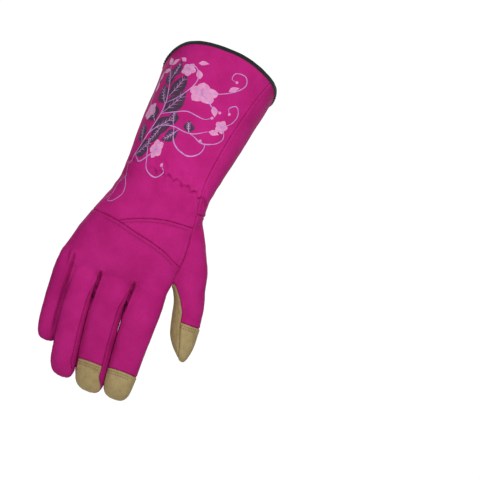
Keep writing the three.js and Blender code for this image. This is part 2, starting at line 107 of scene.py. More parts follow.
FINGER_TAPER = dict(
    along=[-0.12, 0.05, 0.3, 0.6, 0.78, 0.88, 0.94, 0.975, 0.993, 1.0],
    size=[0.8, 0.97, 1.02, 0.99, 0.97, 0.91, 0.8, 0.63, 0.4, 0.12],
)
FINGER_ROUNDNESS = 2.5
THUMB_SECTIONS = dict(
    down=[0.12, 0.2, 0.28, 0.4, 0.53, 0.63, 0.75, 0.85, 0.93, 0.98, 1.0],
    reach=[0.45, 0.515, 0.59, 0.67, 0.75, 0.837, 0.885, 0.92, 0.965, 1.005, 1.02],
    forward=[0.08, 0.14, 0.22, 0.36, 0.52, 0.66, 0.8, 0.9, 0.96, 0.99, 1.0],
    thick=[0.85, 0.97, 1.0, 1.18, 1.12, 0.99, 0.92, 0.83, 0.56, 0.26, 0.08],
    broad=[0.8, 1.02, 1.16, 1.18, 1.08, 1.0, 0.94, 0.86, 0.66, 0.4, 0.14],
)
HAND_SEAM = dict(
    across=[-1.6, -0.76, -0.5, -0.19, 0.165, 0.44, 0.63, 0.9],
    down=[0.46, 0.456, 0.478, 0.522, 0.569, 0.62, 0.677, 0.74],
)
WEDGE_SEAM = dict(
    across=[-0.54, -0.35, -0.015, 0.27, 0.52, 0.9],
    down=[0.47, 0.416, 0.346, 0.308, 0.298, 0.29],
)
THUMB_SEAMS = dict(
    down=[0.0, 0.12, 0.38, 0.48, 0.62, 0.78, 0.9, 1.18, 1.36, 1.6, 2.3],
    back=[0.668, 0.71, 0.745, 0.755, 0.755, 0.73, 0.715, 0.8, 0.86, 0.9, 0.9],
    palm=[0.42, 0.44, 0.56, 0.66, 0.82, 0.93, 1.0, 1.06, 1.15, 1.26, 1.3],
    crease=[0.43, 0.43, 0.44, 0.46, 0.53, 0.63, 0.71, 0.755, 0.755, 0.755, 0.755],
)
# The back's seam where it leaves the hand and runs down the thumb, across and up
THUMB_EDGE = [(-80, 39.4), (-84, 40.0), (-88.8, 41.6), (-95, 46), (-102.6, 51.4), (-111.4, 55), (-118, 57.6)]
# Pads on the palm: corners across and down, as shares of half the knuckles' width and of their drop
PADS = {
    "pad_knuckles": [
        (-1.14, 0.94), (-1.2, 1.12), (-1.16, 1.24), (-1.08, 1.26), (-0.97, 1.14), (-0.87, 1.14), (-0.78, 1.28),
        (-0.68, 1.28), (-0.54, 1.16), (-0.42, 1.18), (-0.3, 1.36), (-0.14, 1.34), (0.03, 1.19), (0.16, 1.2),
        (0.28, 1.38), (0.46, 1.38), (0.55, 1.2), (0.5, 1.08), (0.0, 1.04), (-0.6, 0.97),
    ],
    "pad_palm": [
        (-1.06, 0.84), (-0.7, 0.92), (-0.2, 1.0), (0.3, 1.03), (0.44, 1.0), (0.45, 0.9), (0.38, 0.74),
        (0.3, 0.68), (0.16, 0.82), (-0.1, 0.87), (-0.4, 0.78), (-0.7, 0.56), (-0.86, 0.44), (-0.96, 0.6),
    ],
    "pad_heel": [
        (-0.7, 0.43), (-0.5, 0.62), (-0.2, 0.8), (-0.06, 0.82), (-0.08, 0.66), (-0.18, 0.44), (-0.24, 0.3),
        (-0.34, 0.26), (-0.6, 0.28), (-0.69, 0.34),
    ],
    "pad_thenar": [
        (0.14, 0.76), (0.22, 0.74), (0.24, 0.64), (0.16, 0.44), (0.08, 0.3), (-0.02, 0.26), (-0.1, 0.31),
        (-0.11, 0.44), (-0.02, 0.62),
    ],
}


# Smooth columns and shapes

def column(table, key, name, place):
    """The value of a column at places along a table, smooth between its rows"""
    x = np.asarray(table[key], float)
    y = np.asarray(table[name], float)
    secant = np.diff(y) / np.diff(x)
    slope = np.concatenate([secant[:1], (secant[:-1] + secant[1:]) / 2, secant[-1:]])
    p = np.clip(np.asarray(place, float), x[0], x[-1])
    i = np.clip(np.searchsorted(x, p, side="right") - 1, 0, len(x) - 2)
    run = x[i + 1] - x[i]
    s = (p - x[i]) / run
    s2, s3 = s * s, s * s * s
    return (y[i] * (2 * s3 - 3 * s2 + 1) + slope[i] * run * (s3 - 2 * s2 + s)
            + y[i + 1] * (3 * s2 - 2 * s3) + slope[i + 1] * run * (s3 - s2))


def mix(a, b, share):
    return a + (b - a) * share


def smoothstep(x, low, high):
    t = np.clip((x - low) / (high - low), 0, 1)
    return t * t * (3 - 2 * t)


def bump(x, width):
    return np.exp(-(x / width) ** 2)


def body_section(up):
    """Half width, half depths at the back and palm, and middle of the body at heights up the arm"""
    up = np.asarray(up, float)
    down = np.maximum(0, -up) / KNUCKLE_DROP
    share = np.maximum(0, up) / CUFF_LENGTH

    def hand(name):
        return column(HAND_SECTIONS, "down", name, down)

    depth = mix(WRIST_DEPTH, RIM_DEPTH, column(CUFF_SECTIONS, "up", "open", share)) / 2
    wide = mix(WRIST_WIDTH, RIM_WIDTH, column(CUFF_SECTIONS, "up", "flare", share)) / 2
    low = up < 0
    half = np.where(low, mix(WRIST_WIDTH, KNUCKLE_WIDTH, hand("spread")) / 2, wide)
    back = np.where(low, mix(WRIST_DEPTH, KNUCKLE_DEPTH, hand("thin_back")) / 2, depth)
    palm = np.where(low, mix(WRIST_DEPTH, KNUCKLE_DEPTH, hand("thin_palm")) / 2, depth)
    across = np.where(low, WRIST_OFFSET + KNUCKLE_SHIFT * hand("shift"), WRIST_OFFSET + RIM_SHIFT * share)
    return half, back, palm, across


def body_point(up, angle, grow=0.0):
    """Points of the body's surface, at heights and at angles from the thumb side, -90 degrees at the back"""
    half, back, palm, across = body_section(up)
    c, s = np.cos(angle), np.sin(angle)
    power = 2 / ROUNDNESS
    x = (half + grow) * np.sign(c) * np.abs(c) ** power
    y = (np.where(s < 0, back, palm) + grow) * np.sign(s) * np.abs(s) ** power
    radius = BEND_LENGTH / CUFF_BEND
    lean = np.clip(up / BEND_LENGTH, 0, 1) * CUFF_BEND
    straight = np.maximum(0, up - BEND_LENGTH)
    spine_y = radius * (1 - np.cos(lean)) + straight * np.sin(lean)
    spine_z = np.where(up < 0, up, radius * np.sin(lean) + straight * np.cos(lean))
    return np.stack([across + x, spine_y + y * np.cos(lean), spine_z - y * np.sin(lean)], axis=-1)


def body_place(points):
    """Height up the arm and angle round it of points on or near the body"""
    x, y, z = points[:, 0], points[:, 1], points[:, 2]
    radius = BEND_LENGTH / CUFF_BEND
    theta = np.arctan2(z, radius - y)
    end_y = radius * (1 - math.cos(CUFF_BEND))
    end_z = radius * math.sin(CUFF_BEND)
    along = (y - end_y) * math.sin(CUFF_BEND) + (z - end_z) * math.cos(CUFF_BEND)
    out = (y - end_y) * math.cos(CUFF_BEND) - (z - end_z) * math.sin(CUFF_BEND)
    up = np.where(z < 0, z, np.where(theta > CUFF_BEND, BEND_LENGTH + along, theta * radius))
    v = np.where(z < 0, y, np.where(theta > CUFF_BEND, out, radius - np.hypot(z, radius - y)))
    half, back, palm, across = body_section(up)
    c = (x - across) / half
    s = v / np.where(v < 0, back, palm)
    power = ROUNDNESS / 2
    angle = np.arctan2(np.sign(s) * np.abs(s) ** power, np.sign(c) * np.abs(c) ** power)
    return up, angle


def rim_height(angle):
    return column(RIM_HEIGHTS, "turn", "up", np.degrees(angle))


def curl(z):
    return FINGER_CURL * (np.maximum(0, -z - KNUCKLE_DROP) / (HAND_LENGTH - KNUCKLE_DROP)) ** 2


def finger_lift(finger, z):
    """How much lower than the rest a finger lies, seen from the back"""
    return KNUCKLE_WIDTH * finger["lift"] * smoothstep(-z, KNUCKLE_DROP - 8, KNUCKLE_DROP + 44)


def finger_middle(finger, z):
    share = np.maximum(0, (-z - KNUCKLE_DROP) / (HAND_LENGTH * finger["drop"] - KNUCKLE_DROP))
    x = KNUCKLE_WIDTH * (finger["across"] + finger["drift"] * share ** 2)
    return x, curl(z) + finger_lift(finger, z)


# Closed tubes, joined into one skin

def loft(rings):
    """Points and faces of a closed tube through rings of points"""
    rings = np.asarray(rings)
    rows, count, _ = rings.shape
    index = np.arange(rows * count).reshape(rows, count)
    nxt = np.roll(index, -1, axis=1)
    faces = np.stack([index[:-1], nxt[:-1], nxt[1:], index[1:]], axis=-1).reshape(-1, 4).tolist()
    faces.append(index[0][::-1].tolist())
    faces.append(index[-1].tolist())
    return rings.reshape(-1, 3), faces


def body_tube():
    ups = np.concatenate([np.linspace(CUFF_LENGTH + 14, 0, 70), np.linspace(-1.5, -KNUCKLE_DROP, 60)])
    angles = np.linspace(0, 2 * np.pi, 120, endpoint=False)
    return loft([body_point(np.full(120, up), angles) for up in ups])


def apart(finger, z):
    """How far a finger is held from its neighbours while the skin is joined"""
    return finger["apart"] * smoothstep(-z, WEB_DROP - 20, WEB_DROP + 2)


def oval(x, y, half_x, half_y, z, power=1.0, count=56):
    turn = np.linspace(0, 2 * np.pi, count, endpoint=False)
    c, s = np.cos(turn), np.sin(turn)
    return np.stack([x + half_x * np.sign(c) * np.abs(c) ** power,
                     y + half_y * np.sign(s) * np.abs(s) ** power, np.full(count, z)], axis=-1)


def finger_tube(finger):
    length = HAND_LENGTH * finger["drop"] - KNUCKLE_DROP
    along = np.concatenate([np.linspace(-0.12, 0.85, 40), 1 - 0.15 * (1 - np.linspace(0, 1, 24)[1:]) ** 2])
    rings = []
    for share in along:
        z = -KNUCKLE_DROP - share * length
        x, y = finger_middle(finger, z)
        size = column(FINGER_TAPER, "along", "size", share) * KNUCKLE_WIDTH / 2
        broad = 1 + finger["base"] * (1 - smoothstep(share, 0, 0.8))
        rings.append(oval(x + apart(finger, z), y, finger["width"] * size * broad, finger["depth"] * size, z,
                          2 / FINGER_ROUNDNESS))
    return loft(rings)


def thumb_tube():
    rings = []
    for down in np.concatenate([np.linspace(0.12, 0.9, 50), np.linspace(0.905, 1, 20)]):
        def at(name):
            return column(THUMB_SECTIONS, "down", name, down)
        rings.append(oval(THUMB_REACH * at("reach"), THUMB_FORWARD * at("forward"),
                          THUMB_THICKNESS / 2 * at("thick"), THUMB_BREADTH / 2 * at("broad"),
                          -(THUMB_LENGTH + 2.5) * down))
    return loft(rings)


def web_block():
    left = KNUCKLE_WIDTH * FINGERS[0]["across"]
    right = KNUCKLE_WIDTH * FINGERS[3]["across"]
    rows = [(-SLIT_DROP + 8, -0.44, 0.42), (-SLIT_DROP - 4, -0.36, 0.42), (-WEB_DROP + 12, 0.2, 0.4)]
    return loft([[(left, back * KNUCKLE_DEPTH, z), (right, back * KNUCKLE_DEPTH, z),
                  (right, palm * KNUCKLE_DEPTH, z), (left, palm * KNUCKLE_DEPTH, z)]
                 for z, back, palm in rows])


def add_mesh(name, points, faces, smooth=True):
    mesh = bpy.data.meshes.new(name)
    mesh.from_pydata((np.asarray(points) * MM).tolist(), [], np.asarray(faces).tolist()
                     if not isinstance(faces, list) else faces)
    mesh.validate()
    if smooth:
        mesh.shade_smooth()
    piece = bpy.data.objects.new(name, mesh)
    bpy.context.collection.objects.link(piece)
    return piece


def evaluated_mesh(piece):
    graph = bpy.context.evaluated_depsgraph_get()
    return bpy.data.meshes.new_from_object(piece.evaluated_get(graph))


def whole_skin():
    """One skin round the body, the fingers, their webs and the thumb, as points and triangles"""
    points, faces, start = [], [], 0
    for tube_points, tube_faces in [body_tube(), thumb_tube(), web_block()] + [finger_tube(f) for f in FINGERS]:
        points.append(np.asarray(tube_points, float))
        faces += [[i + start for i in face] for face in tube_faces]
        start += len(tube_points)
    rough = add_mesh("rough", np.concatenate(points), faces)
    remesh = rough.modifiers.new("skin", "REMESH")
    remesh.mode = "VOXEL"
    remesh.voxel_size = VOXEL * MM
    mesh = evaluated_mesh(rough)
    bpy.data.objects.remove(rough)
    mesh.calc_loop_triangles()
    skin = np.empty(len(mesh.vertices) * 3)
    mesh.vertices.foreach_get("co", skin)
    triangles = np.empty(len(mesh.loop_triangles) * 3, int)
    mesh.loop_triangles.foreach_get("vertices", triangles)
    bpy.data.meshes.remove(mesh)
    return skin.reshape(-1, 3) / MM, triangles.reshape(-1, 3)


def edges_of(triangles):
    pairs = np.sort(np.concatenate([triangles[:, [0, 1]], triangles[:, [1, 2]], triangles[:, [2, 0]]]), axis=1)
    return np.unique(pairs, axis=0)


def smoothed(points, edges, rounds, weight):
    """Points relaxed towards their neighbours, by a weight for each point"""
    count = np.bincount(edges.ravel(), minlength=len(points))[:, None]
    for _ in range(rounds):
        total = np.stack([
            np.bincount(edges[:, 0], points[edges[:, 1], axis], len(points))
            + np.bincount(edges[:, 1], points[edges[:, 0], axis], len(points))
            for axis in range(3)
        ], axis=-1)
        points = points + weight * (total / count - points)
    return points


def brought_together(points):
    """The fingers moved back beside each other after the skin was joined"""
    x, z = points[:, 0], points[:, 2]
    which = finger_number(x, z, spread=True)
    back = np.select([which == k for k in range(4)], [apart(f, z) for f in FINGERS])
    points = points.copy()
    points[:, 0] -= np.where(x < 48, back, 0)
    return points


def normals_of(points, triangles):
    a, b, c = points[triangles[:, 0]], points[triangles[:, 1]], points[triangles[:, 2]]
    face = np.cross(b - a, c - a)
    normal = np.stack([sum(np.bincount(triangles[:, k], face[:, axis], len(points)) for k in range(3))
                       for axis in range(3)], axis=-1)
    return normal / np.maximum(1e-12, np.linalg.norm(normal, axis=1))[:, None]


# Panels: each has a field that is below zero inside it, and takes what the ones before it left

def thumb_seam(z, name):
    return HALF * column(THUMB_SEAMS, "down", name, -z / KNUCKLE_DROP)


def seam_height(table, x):
    return -KNUCKLE_DROP * column(table, "across", "down", x / HALF)


def slit_open(z):
    return smoothstep(-z, SLIT_DROP - 14, SLIT_DROP + 10)


def finger_number(x, z, spread=False):
    """Which finger points are nearest to, counted from the little one"""
    middles = [finger_middle(f, z)[0] + (apart(f, z) if spread else 0) for f in FINGERS]
    return sum((x > (a + b) / 2).astype(int) for a, b in zip(middles[:-1], middles[1:]))


def strip_half(x, z, loss):
    """Half the width of the strips between back and palm, which lose a share of it round the fingers' ends"""
    end = HAND_LENGTH * np.array([f["drop"] for f in FINGERS])[finger_number(x, z)]
    return STRIP_WIDTH / 2 * (1 - loss * smoothstep(-z, end - 20, end - 4))


def palm_edge(x, z):
    """The height at which the palm's suede starts, which follows the little finger where that lies lower"""
    little = mix(1 - smoothstep(x, -57, -50), finger_number(x, z) == 0, smoothstep(-z, WEB_DROP, WEB_DROP + 12))
    return slit_open(z) * (curl(z) + strip_half(x, z, 0.1)) + finger_lift(FINGERS[0], z) * little


def thumb_free(z):
    return smoothstep(-z, SLIT_DROP - 8, SLIT_DROP - 2)


def strip_field(first, second):
    def field(p):
        x, y, z = p.T
        left, right = finger_middle(first, z)[0], finger_middle(second, z)[0]
        half = KNUCKLE_WIDTH / 2
        edge = (left + first["width"] * half + right - second["width"] * half) / 2
        side = smoothstep(x, edge - 1.2, edge + 1.2)
        tip = mix(first["drop"], second["drop"], side) * HAND_LENGTH
        turn = mix(first["turn"], -STRIP_TURN, side) * smoothstep(-z, SLIT_DROP + 2, SLIT_DROP + 34)
        turn = turn * (1 - smoothstep(-z, tip - 18, tip - 1))
        lift = mix(finger_lift(first, z), finger_lift(second, z), side)
        top = slit_open(z) * (curl(z) - strip_half(x, z, 0.45)) + lift - turn
        over = left + first["width"] * half
        reached = mix(finger_lift(first, z), finger_lift(second, z), smoothstep(x, over + 1.2, over + 2.2))
        low = slit_open(z) * (curl(z) + strip_half(x, z, 0.1) + 2.0) + reached
        inner_left = left + first["width"] * half * 0.25
        inner_right = right - second["width"] * half * 0.4
        return np.max([inner_left - x, x - inner_right, top - y, y - low,
                       z + SLIT_DROP + 1], axis=0)
    return field


def cap_field(finger):
    def field(p):
        x, y, z = p.T
        middle = finger_middle(finger, z)[0]
        reach = KNUCKLE_WIDTH * finger["width"] * 0.55
        top = -HAND_LENGTH * finger["drop"] + CAP_LENGTH - 1.5 * ((x - middle) / reach) ** 2
        other = np.where(finger_number(x, z) == FINGERS.index(finger), -5.0, 5.0)
        return np.max([other, np.abs(x - middle) - reach, y - palm_edge(x, z), z - top], axis=0)
    return field


def thumb_round_field(top):
    def field(p):
        x, y, z = p.T
        line = np.array(THUMB_EDGE)[::-1]
        front = np.where(z > -80, thumb_seam(z, "back"), np.interp(z, line[:, 0], line[:, 1]))
        front = np.where(z < -118, np.maximum(front, thumb_seam(z, "palm") - 1.0), front)
        edge = np.where(y > 0, thumb_seam(z, "palm"), mix(thumb_seam(z, "back"), front, smoothstep(-z, 78, 82)))
        return np.maximum(edge - x, z - top)
    return field


def thumb_suede_field(p):
    x, y, z = p.T
    crease = mix(thumb_seam(z, "palm"), thumb_seam(z, "crease"), smoothstep(-z, 30, 50))
    return np.max([crease - x, mix(0, -75, thumb_free(z)) - y,
                   z + KNUCKLE_DROP * THUMB_SUEDE_START], axis=0)


def palm_field(p):
    x, y, z = p.T
    return np.maximum(palm_edge(x, z) - y, z + PALM_SEAM_DROP)


def seam_angle(up):
    """The angle of the long seam on the thumb side at heights up the arm"""
    half, _, _, across = body_section(up)
    share = np.where(up < 0, (thumb_seam(np.minimum(up, 0), "back") - across) / half,
                     column(CUFF_SECTIONS, "up", "seam", np.maximum(up, 0) / CUFF_LENGTH))
    return -np.arccos(np.clip(np.sign(share) * np.abs(share) ** (ROUNDNESS / 2), -1, 1))


def cuff_palm_field(p):
    up, angle = body_place(p)
    away = np.minimum(angle - seam_angle(up), np.pi - angle) * 50
    return np.maximum(-away, -PALM_SEAM_DROP - p[:, 2])


def hand_back_field(p):
    return p[:, 2] - seam_height(HAND_SEAM, p[:, 0])


def wedge_field(p):
    x, _, z = p.T
    return np.maximum(z - seam_height(WEDGE_SEAM, x), HALF * WEDGE_SEAM["across"][0] + 1 - x)


def above_rim_field(p):
    up, angle = body_place(p)
    return rim_height(angle) + 2.5 - up


LITTLE, RING, MIDDLE, INDEX = FINGERS
PANELS = [
    ("above_rim", above_rim_field),
    ("fourchette_little_ring", strip_field(LITTLE, RING)),
    ("fourchette_ring_middle", strip_field(RING, MIDDLE)),
    ("fourchette_middle_index", strip_field(MIDDLE, INDEX)),
    ("middle_cap", cap_field(MIDDLE)),
    ("index_cap", cap_field(INDEX)),
    ("thumb_cap", thumb_round_field(-THUMB_LENGTH + THUMB_CAP_LENGTH)),
    ("thumb_back", thumb_round_field(-PALM_SEAM_DROP)),
    ("thumb_palm", thumb_suede_field),
    ("palm_leather", palm_field),
    ("cuff_palm", cuff_palm_field),
    ("hand_back", hand_back_field),
    ("back_wedge", wedge_field),
    ("cuff_back", lambda p: np.full(len(p), -1.0)),
]


def snap_to_zero(points, edges, value, movable):
    """Moves the nearer end of each edge that crosses zero onto the crossing"""
    a, b = edges.T
    crossing = (value[a] * value[b] < 0) & movable[a] & movable[b]
    a, b = a[crossing], b[crossing]
    share = value[a] / (value[a] - value[b])
    near_a = share < 0.5
    target = points[a] + (points[b] - points[a]) * share[:, None]
    points = points.copy()
    value = value.copy()
    points[a[near_a]] = target[near_a]
    value[a[near_a]] = 0
    points[b[~near_a]] = target[~near_a]
    value[b[~near_a]] = 0
    return points, value


def cut_panels(points, triangles):
    """Gives each triangle the number of its panel, with the points along the seams moved onto them"""
    label = np.full(len(triangles), -1)
    edges = edges_of(triangles)
    movable = np.ones(len(points), bool)
    for number, (_, field) in enumerate(PANELS):
        value = field(points)
        free = np.zeros(len(points), bool)
        free[triangles[label < 0].ravel()] = True
        points, value = snap_to_zero(points, edges, value, free & movable)
        middle = value[triangles].sum(axis=1)
        inside = (label < 0) & (middle < 0)
        label[inside] = number
        on_seam = np.zeros(len(points), bool)
        on_seam[triangles[inside].ravel()] = True
        rest = np.zeros(len(points), bool)
        rest[triangles[label < 0].ravel()] = True
        movable &= ~(on_seam & rest)
    return points, label


# The skin: joined, relaxed where cloth would bridge a corner, cut into panels and creased

def nearest_distance(points, targets):
    tree = kdtree.KDTree(len(targets))
    for i, target in enumerate(targets):
        tree.insert(target, i)
    tree.balance()
    return np.array([tree.find(point)[2] for point in points])


def ripple(p, size, seed=0.0):
    """A soft, smooth wobble between about -1 and 1, with features of a size in millimetres"""
    x, y, z = (p / size).T
    return (np.sin(1.7 * x + 2.1 * np.sin(1.1 * z + seed) + seed)
            + np.sin(2.3 * z + 1.7 * np.sin(1.3 * y + 2 * seed) + 2.0)
            + np.sin(1.9 * y + 1.9 * np.sin(0.9 * x + seed) + 4.0)) / 3


# How far the top-stitching runs below the seams on the back
STITCH_DROP = 2.9

GATHER_LINE = [(-26, 13), (-16, 12.4), (0.4, 10.7), (16.3, 7.8), (30, 4.2), (40, 0.5), (46, -3.5)]

# Where the fingers part on the back of the hand, across and up
FINGER_GAPS = [
    [(-58.5, -88), (-57.8, -97), (-57.2, -125), (-55.6, -150), (-53.8, -164)],
    [(-28.6, -96), (-28.4, -104), (-28.1, -141), (-26.6, -166)],
    [(5.3, -95), (5.0, -103), (4.0, -134), (6.6, -164)],
]


def along_line(line, place, axis):
    """The other coordinate of a line of places, at places along one axis"""
    line = np.array(line, float)
    order = np.argsort(line[:, axis])
    return np.interp(place, line[order, axis], line[order, 1 - axis])


def gather_away(x, z):
    """How far above the gathered line at the wrist points are"""
    wave = 1.5 * np.sin(x * 0.66 + 0.5 * np.sin(x * 0.21)) + 0.6 * np.sin(x * 1.37 + 1.2)
    return z - along_line(GATHER_LINE, x, 0) - wave * smoothstep(x, -30, -6)


def folds(p, normal):
    """How far the cloth stands out or in at points, and how much painted shade darkens it: gathers, slits and soft
    wrinkles
    """
    x, y, z = p.T
    back = smoothstep(-normal[:, 1], -0.1, 0.35)
    gathered = back * smoothstep(x, -26, -6) * (1 - smoothstep(x, 42.5, 47))
    away = gather_away(x, z)
    crease = gathered * bump(away, 1.3) * (0.75 + 0.35 * np.sin(x * 0.9))
    out = -2.2 * crease + 0.9 * gathered * bump(away - 2.6, 1.7) + 0.5 * gathered * bump(away + 2.6, 1.9)
    pucker = np.sin(x * 0.74 + 0.9 * np.sin(x * 0.31) + 0.16 * z)
    out += 0.55 * gathered * pucker * (bump(away - 5.5, 4.5) + 0.8 * bump(away + 5, 4))
    second = gathered * bump(away - 10.5 - 1.5 * np.sin(x * 0.4), 2.0) * smoothstep(-x, -12, 8)
    out += -0.8 * second
    ulnar = back * smoothstep(-x, 18, 36)
    slant = z - 0.28 * x
    out += ulnar * (-1.1 * bump(slant - 24, 2.2) + 0.7 * bump(slant - 19, 3) - 0.7 * bump(slant - 10, 2.6)
                    + 0.4 * bump(slant - 30, 4))
    # Painted shade in the gather's creases and along the slanted crease on the little finger's side
    shade = 0.5 * crease + 0.2 * second + 0.2 * ulnar * bump(slant - 24, 1.8)
    for line, depth in zip(FINGER_GAPS, (2.1, 2.8, 3.0)):
        middle = along_line(line, z, 1)
        top = line[0][1]
        reach = smoothstep(-z, -top - 0.5, -top + 4) * back
        reach = reach * (smoothstep(z, -132, -114) if depth > 2.5 else smoothstep(z, -172, -158))
        gap = reach * bump(x - middle, 1.3)
        out -= depth * gap
        # Painted shade down each gap between the fingers
        shade += 0.8 * reach * bump(x - middle, 0.9)
        ring = np.hypot(x - middle, np.minimum(0, -z + top - 1))
        loop = back * smoothstep(z, -142, -116) * smoothstep(-z, -top - 6, -top - 1)
        out += 0.8 * loop * bump(ring - 2.7, 1.0)
        # A faint ring of painted shade just outside the raised loop
        shade += 0.12 * loop * bump(ring - 4.5, 0.8)
    cuff = smoothstep(z, 8, 34)
    hand = smoothstep(-z, 10, 40)
    out += cuff * (0.5 * ripple(p, 19, 1.3) + 0.16 * ripple(p, 7, 4.2))
    out += hand * (0.25 * ripple(p, 8, 2.2) + 0.1 * ripple(p, 3.6, 0.7))
    wrist = 1 - np.clip(cuff + hand, 0, 1)
    out += wrist * 0.45 * ripple(p * np.array([1, 1, 2.2]), 10, 3.1)
    palm = smoothstep(normal[:, 1], 0.2, 0.6) * smoothstep(-z, 60, 74)
    line = -KNUCKLE_DROP * (0.935 + 0.075 * (x / HALF + 1.1) - 0.02 * (x / HALF) ** 2)
    crease = palm * bump(z - line - 0.5, 0.9) * (np.abs(x + 17) < 47)
    out -= 0.9 * crease
    # Painted shade in the palm's crease
    shade += 0.6 * crease
    for table, first, last in ((HAND_SEAM, -43, 34), (WEDGE_SEAM, -26, 36)):
        below = seam_height(table, x) - z
        row = back * (x > first) * (x < last)
        out += row * (0.3 * bump(below - 1.4, 0.9) - 0.2 * bump(below - STITCH_DROP, 0.8))
    return out, shade


def panel_of(points, triangles, label, number):
    """The triangles of one panel, with the numbers of their points"""
    faces = triangles[label == number]
    used, renumbered = np.unique(faces, return_inverse=True)
    return used, renumbered.reshape(-1, 3)


def border_edges(faces):
    """Edges that one face alone has, in that face's direction"""
    directed = np.concatenate([faces[:, [0, 1]], faces[:, [1, 2]], faces[:, [2, 0]]])
    key = np.sort(directed, axis=1)
    _, first, count = np.unique(key, axis=0, return_index=True, return_counts=True)
    return directed[first[count == 1]]


def closed_sheet(outer, inner, faces):
    """A closed piece between two sheets with the same triangles"""
    shift = len(outer)
    rim = border_edges(faces)
    sides = np.concatenate([
        np.stack([rim[:, 1], rim[:, 0], rim[:, 0] + shift], axis=-1),
        np.stack([rim[:, 1], rim[:, 0] + shift, rim[:, 1] + shift], axis=-1),
    ])
    return np.concatenate([outer, inner]), np.concatenate([faces, faces[:, ::-1] + shift, sides])


def add_values(piece, name, values):
    attribute = piece.data.attributes.new(name, "FLOAT", "POINT")
    attribute.data.foreach_set("value", np.asarray(values, np.float32))


def dress(piece, material, slot, *nodes):
    piece.data.materials.append(material)
    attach(piece, "root")
    if nodes:
        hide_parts(*nodes)
    return piece


# Materials

def new_material(name):
    material = bpy.data.materials.new(name)
    material.use_nodes = True
    nodes, links = material.node_tree.nodes, material.node_tree.links
    nodes.clear()
    shader = nodes.new("ShaderNodeBsdfPrincipled")
    out = nodes.new("ShaderNodeOutputMaterial")
    links.new(shader.outputs[0], out.inputs[0])
    place = nodes.new("ShaderNodeTexCoord")
    return material, nodes, links, shader, place.outputs["Object"]


def linear(red, green, blue):
    """A colour given as the eye sees it, 0 to 255, as the shader takes it"""
    def one(c):
        c /= 255
        return c / 12.92 if c <= 0.04045 else ((c + 0.055) / 1.055) ** 2.4
    return one(red), one(green), one(blue), 1.0


def noise(nodes, links, place, scale, detail=3.0, roughness=0.55):
    node = nodes.new("ShaderNodeTexNoise")
    node.inputs["Scale"].default_value = scale
    node.inputs["Detail"].default_value = detail
    node.inputs["Roughness"].default_value = roughness
    links.new(place, node.inputs["Vector"])
    return node.outputs["Fac"]


def ramp(nodes, links, factor, stops):
    node = nodes.new("ShaderNodeValToRGB")
    ends = node.color_ramp.elements
    while len(ends) < len(stops):
        ends.new(0.5)
    for end, (position, colour) in zip(ends, stops):
        end.position = position
        end.color = colour
    links.new(factor, node.inputs["Fac"])
    return node.outputs["Color"]


def blend_colours(nodes, links, factor, first, second, how="MIX"):
    node = nodes.new("ShaderNodeMix")
    node.data_type = "RGBA"
    node.blend_type = how
    for socket, value in ((node.inputs[0], factor), (node.inputs[6], first), (node.inputs[7], second)):
        if isinstance(value, bpy.types.NodeSocket):
            links.new(value, socket)
        else:
            socket.default_value = value
    return node.outputs[2]


def maths(nodes, links, how, first, second=0.0, clamp=False):
    node = nodes.new("ShaderNodeMath")
    node.operation = how
    node.use_clamp = clamp
    for socket, value in zip(node.inputs, (first, second)):
        if isinstance(value, bpy.types.NodeSocket):
            links.new(value, socket)
        else:
            socket.default_value = value
    return node.outputs[0]


def attribute(nodes, name):
    node = nodes.new("ShaderNodeAttribute")
    node.attribute_name = name
    return node.outputs["Fac"]


def add_bump(nodes, links, shader, layers):
    """Stacked bumps: each layer is a height socket and a height in metres"""
    previous = None
    for height, distance in layers:
        node = nodes.new("ShaderNodeBump")
        node.inputs["Distance"].default_value = distance
        links.new(height, node.inputs["Height"])
        if previous is not None:
            links.new(previous, node.inputs["Normal"])
        previous = node.outputs["Normal"]
    links.new(previous, shader.inputs["Normal"])


def softshell_material(name, light, dark):
    """Stretch softshell: a fine knit face with a soft sheen, darkened by painted shade in its seams and folds"""
    material, nodes, links, shader, place = new_material(name)
    broad = noise(nodes, links, place, 38, 3)
    knit = nodes.new("ShaderNodeTexVoronoi")
    knit.inputs["Scale"].default_value = 1500
    links.new(place, knit.inputs["Vector"])
    fine = noise(nodes, links, place, 900, 4, 0.7)
    base = ramp(nodes, links, broad, [(0.32, dark), (0.68, light)])
    fleck = ramp(nodes, links, fine, [(0.3, (0.86, 0.86, 0.86, 1)), (0.7, (1.06, 1.06, 1.06, 1))])
    base = blend_colours(nodes, links, 1.0, base, fleck, "MULTIPLY")
    # Painted shade: the "seam" attribute darkens the colour in seam grooves and fold creases
    seam = maths(nodes, links, "MULTIPLY", attribute(nodes, "seam"), 0.5, clamp=True)
    base = blend_colours(nodes, links, seam, base, tuple(c * 0.3 for c in dark[:3]) + (1.0,))
    links.new(base, shader.inputs["Base Color"])
    rough = ramp(nodes, links, broad, [(0.3, (0.78, 0.78, 0.78, 1)), (0.7, (0.9, 0.9, 0.9, 1))])
    links.new(rough, shader.inputs["Roughness"])
    shader.inputs["IOR"].default_value = 1.25
    shader.inputs["Specular IOR Level"].default_value = 0.2
    shader.inputs["Sheen Weight"].default_value = 0.015
    shader.inputs["Sheen Roughness"].default_value = 0.4
    shader.inputs["Sheen Tint"].default_value = (1.0, 0.72, 0.88, 1)
    add_bump(nodes, links, shader, [(noise(nodes, links, place, 160, 4, 0.6), 0.0003),
                                    (knit.outputs["Distance"], 0.00012), (fine, 0.00008)])
    return material


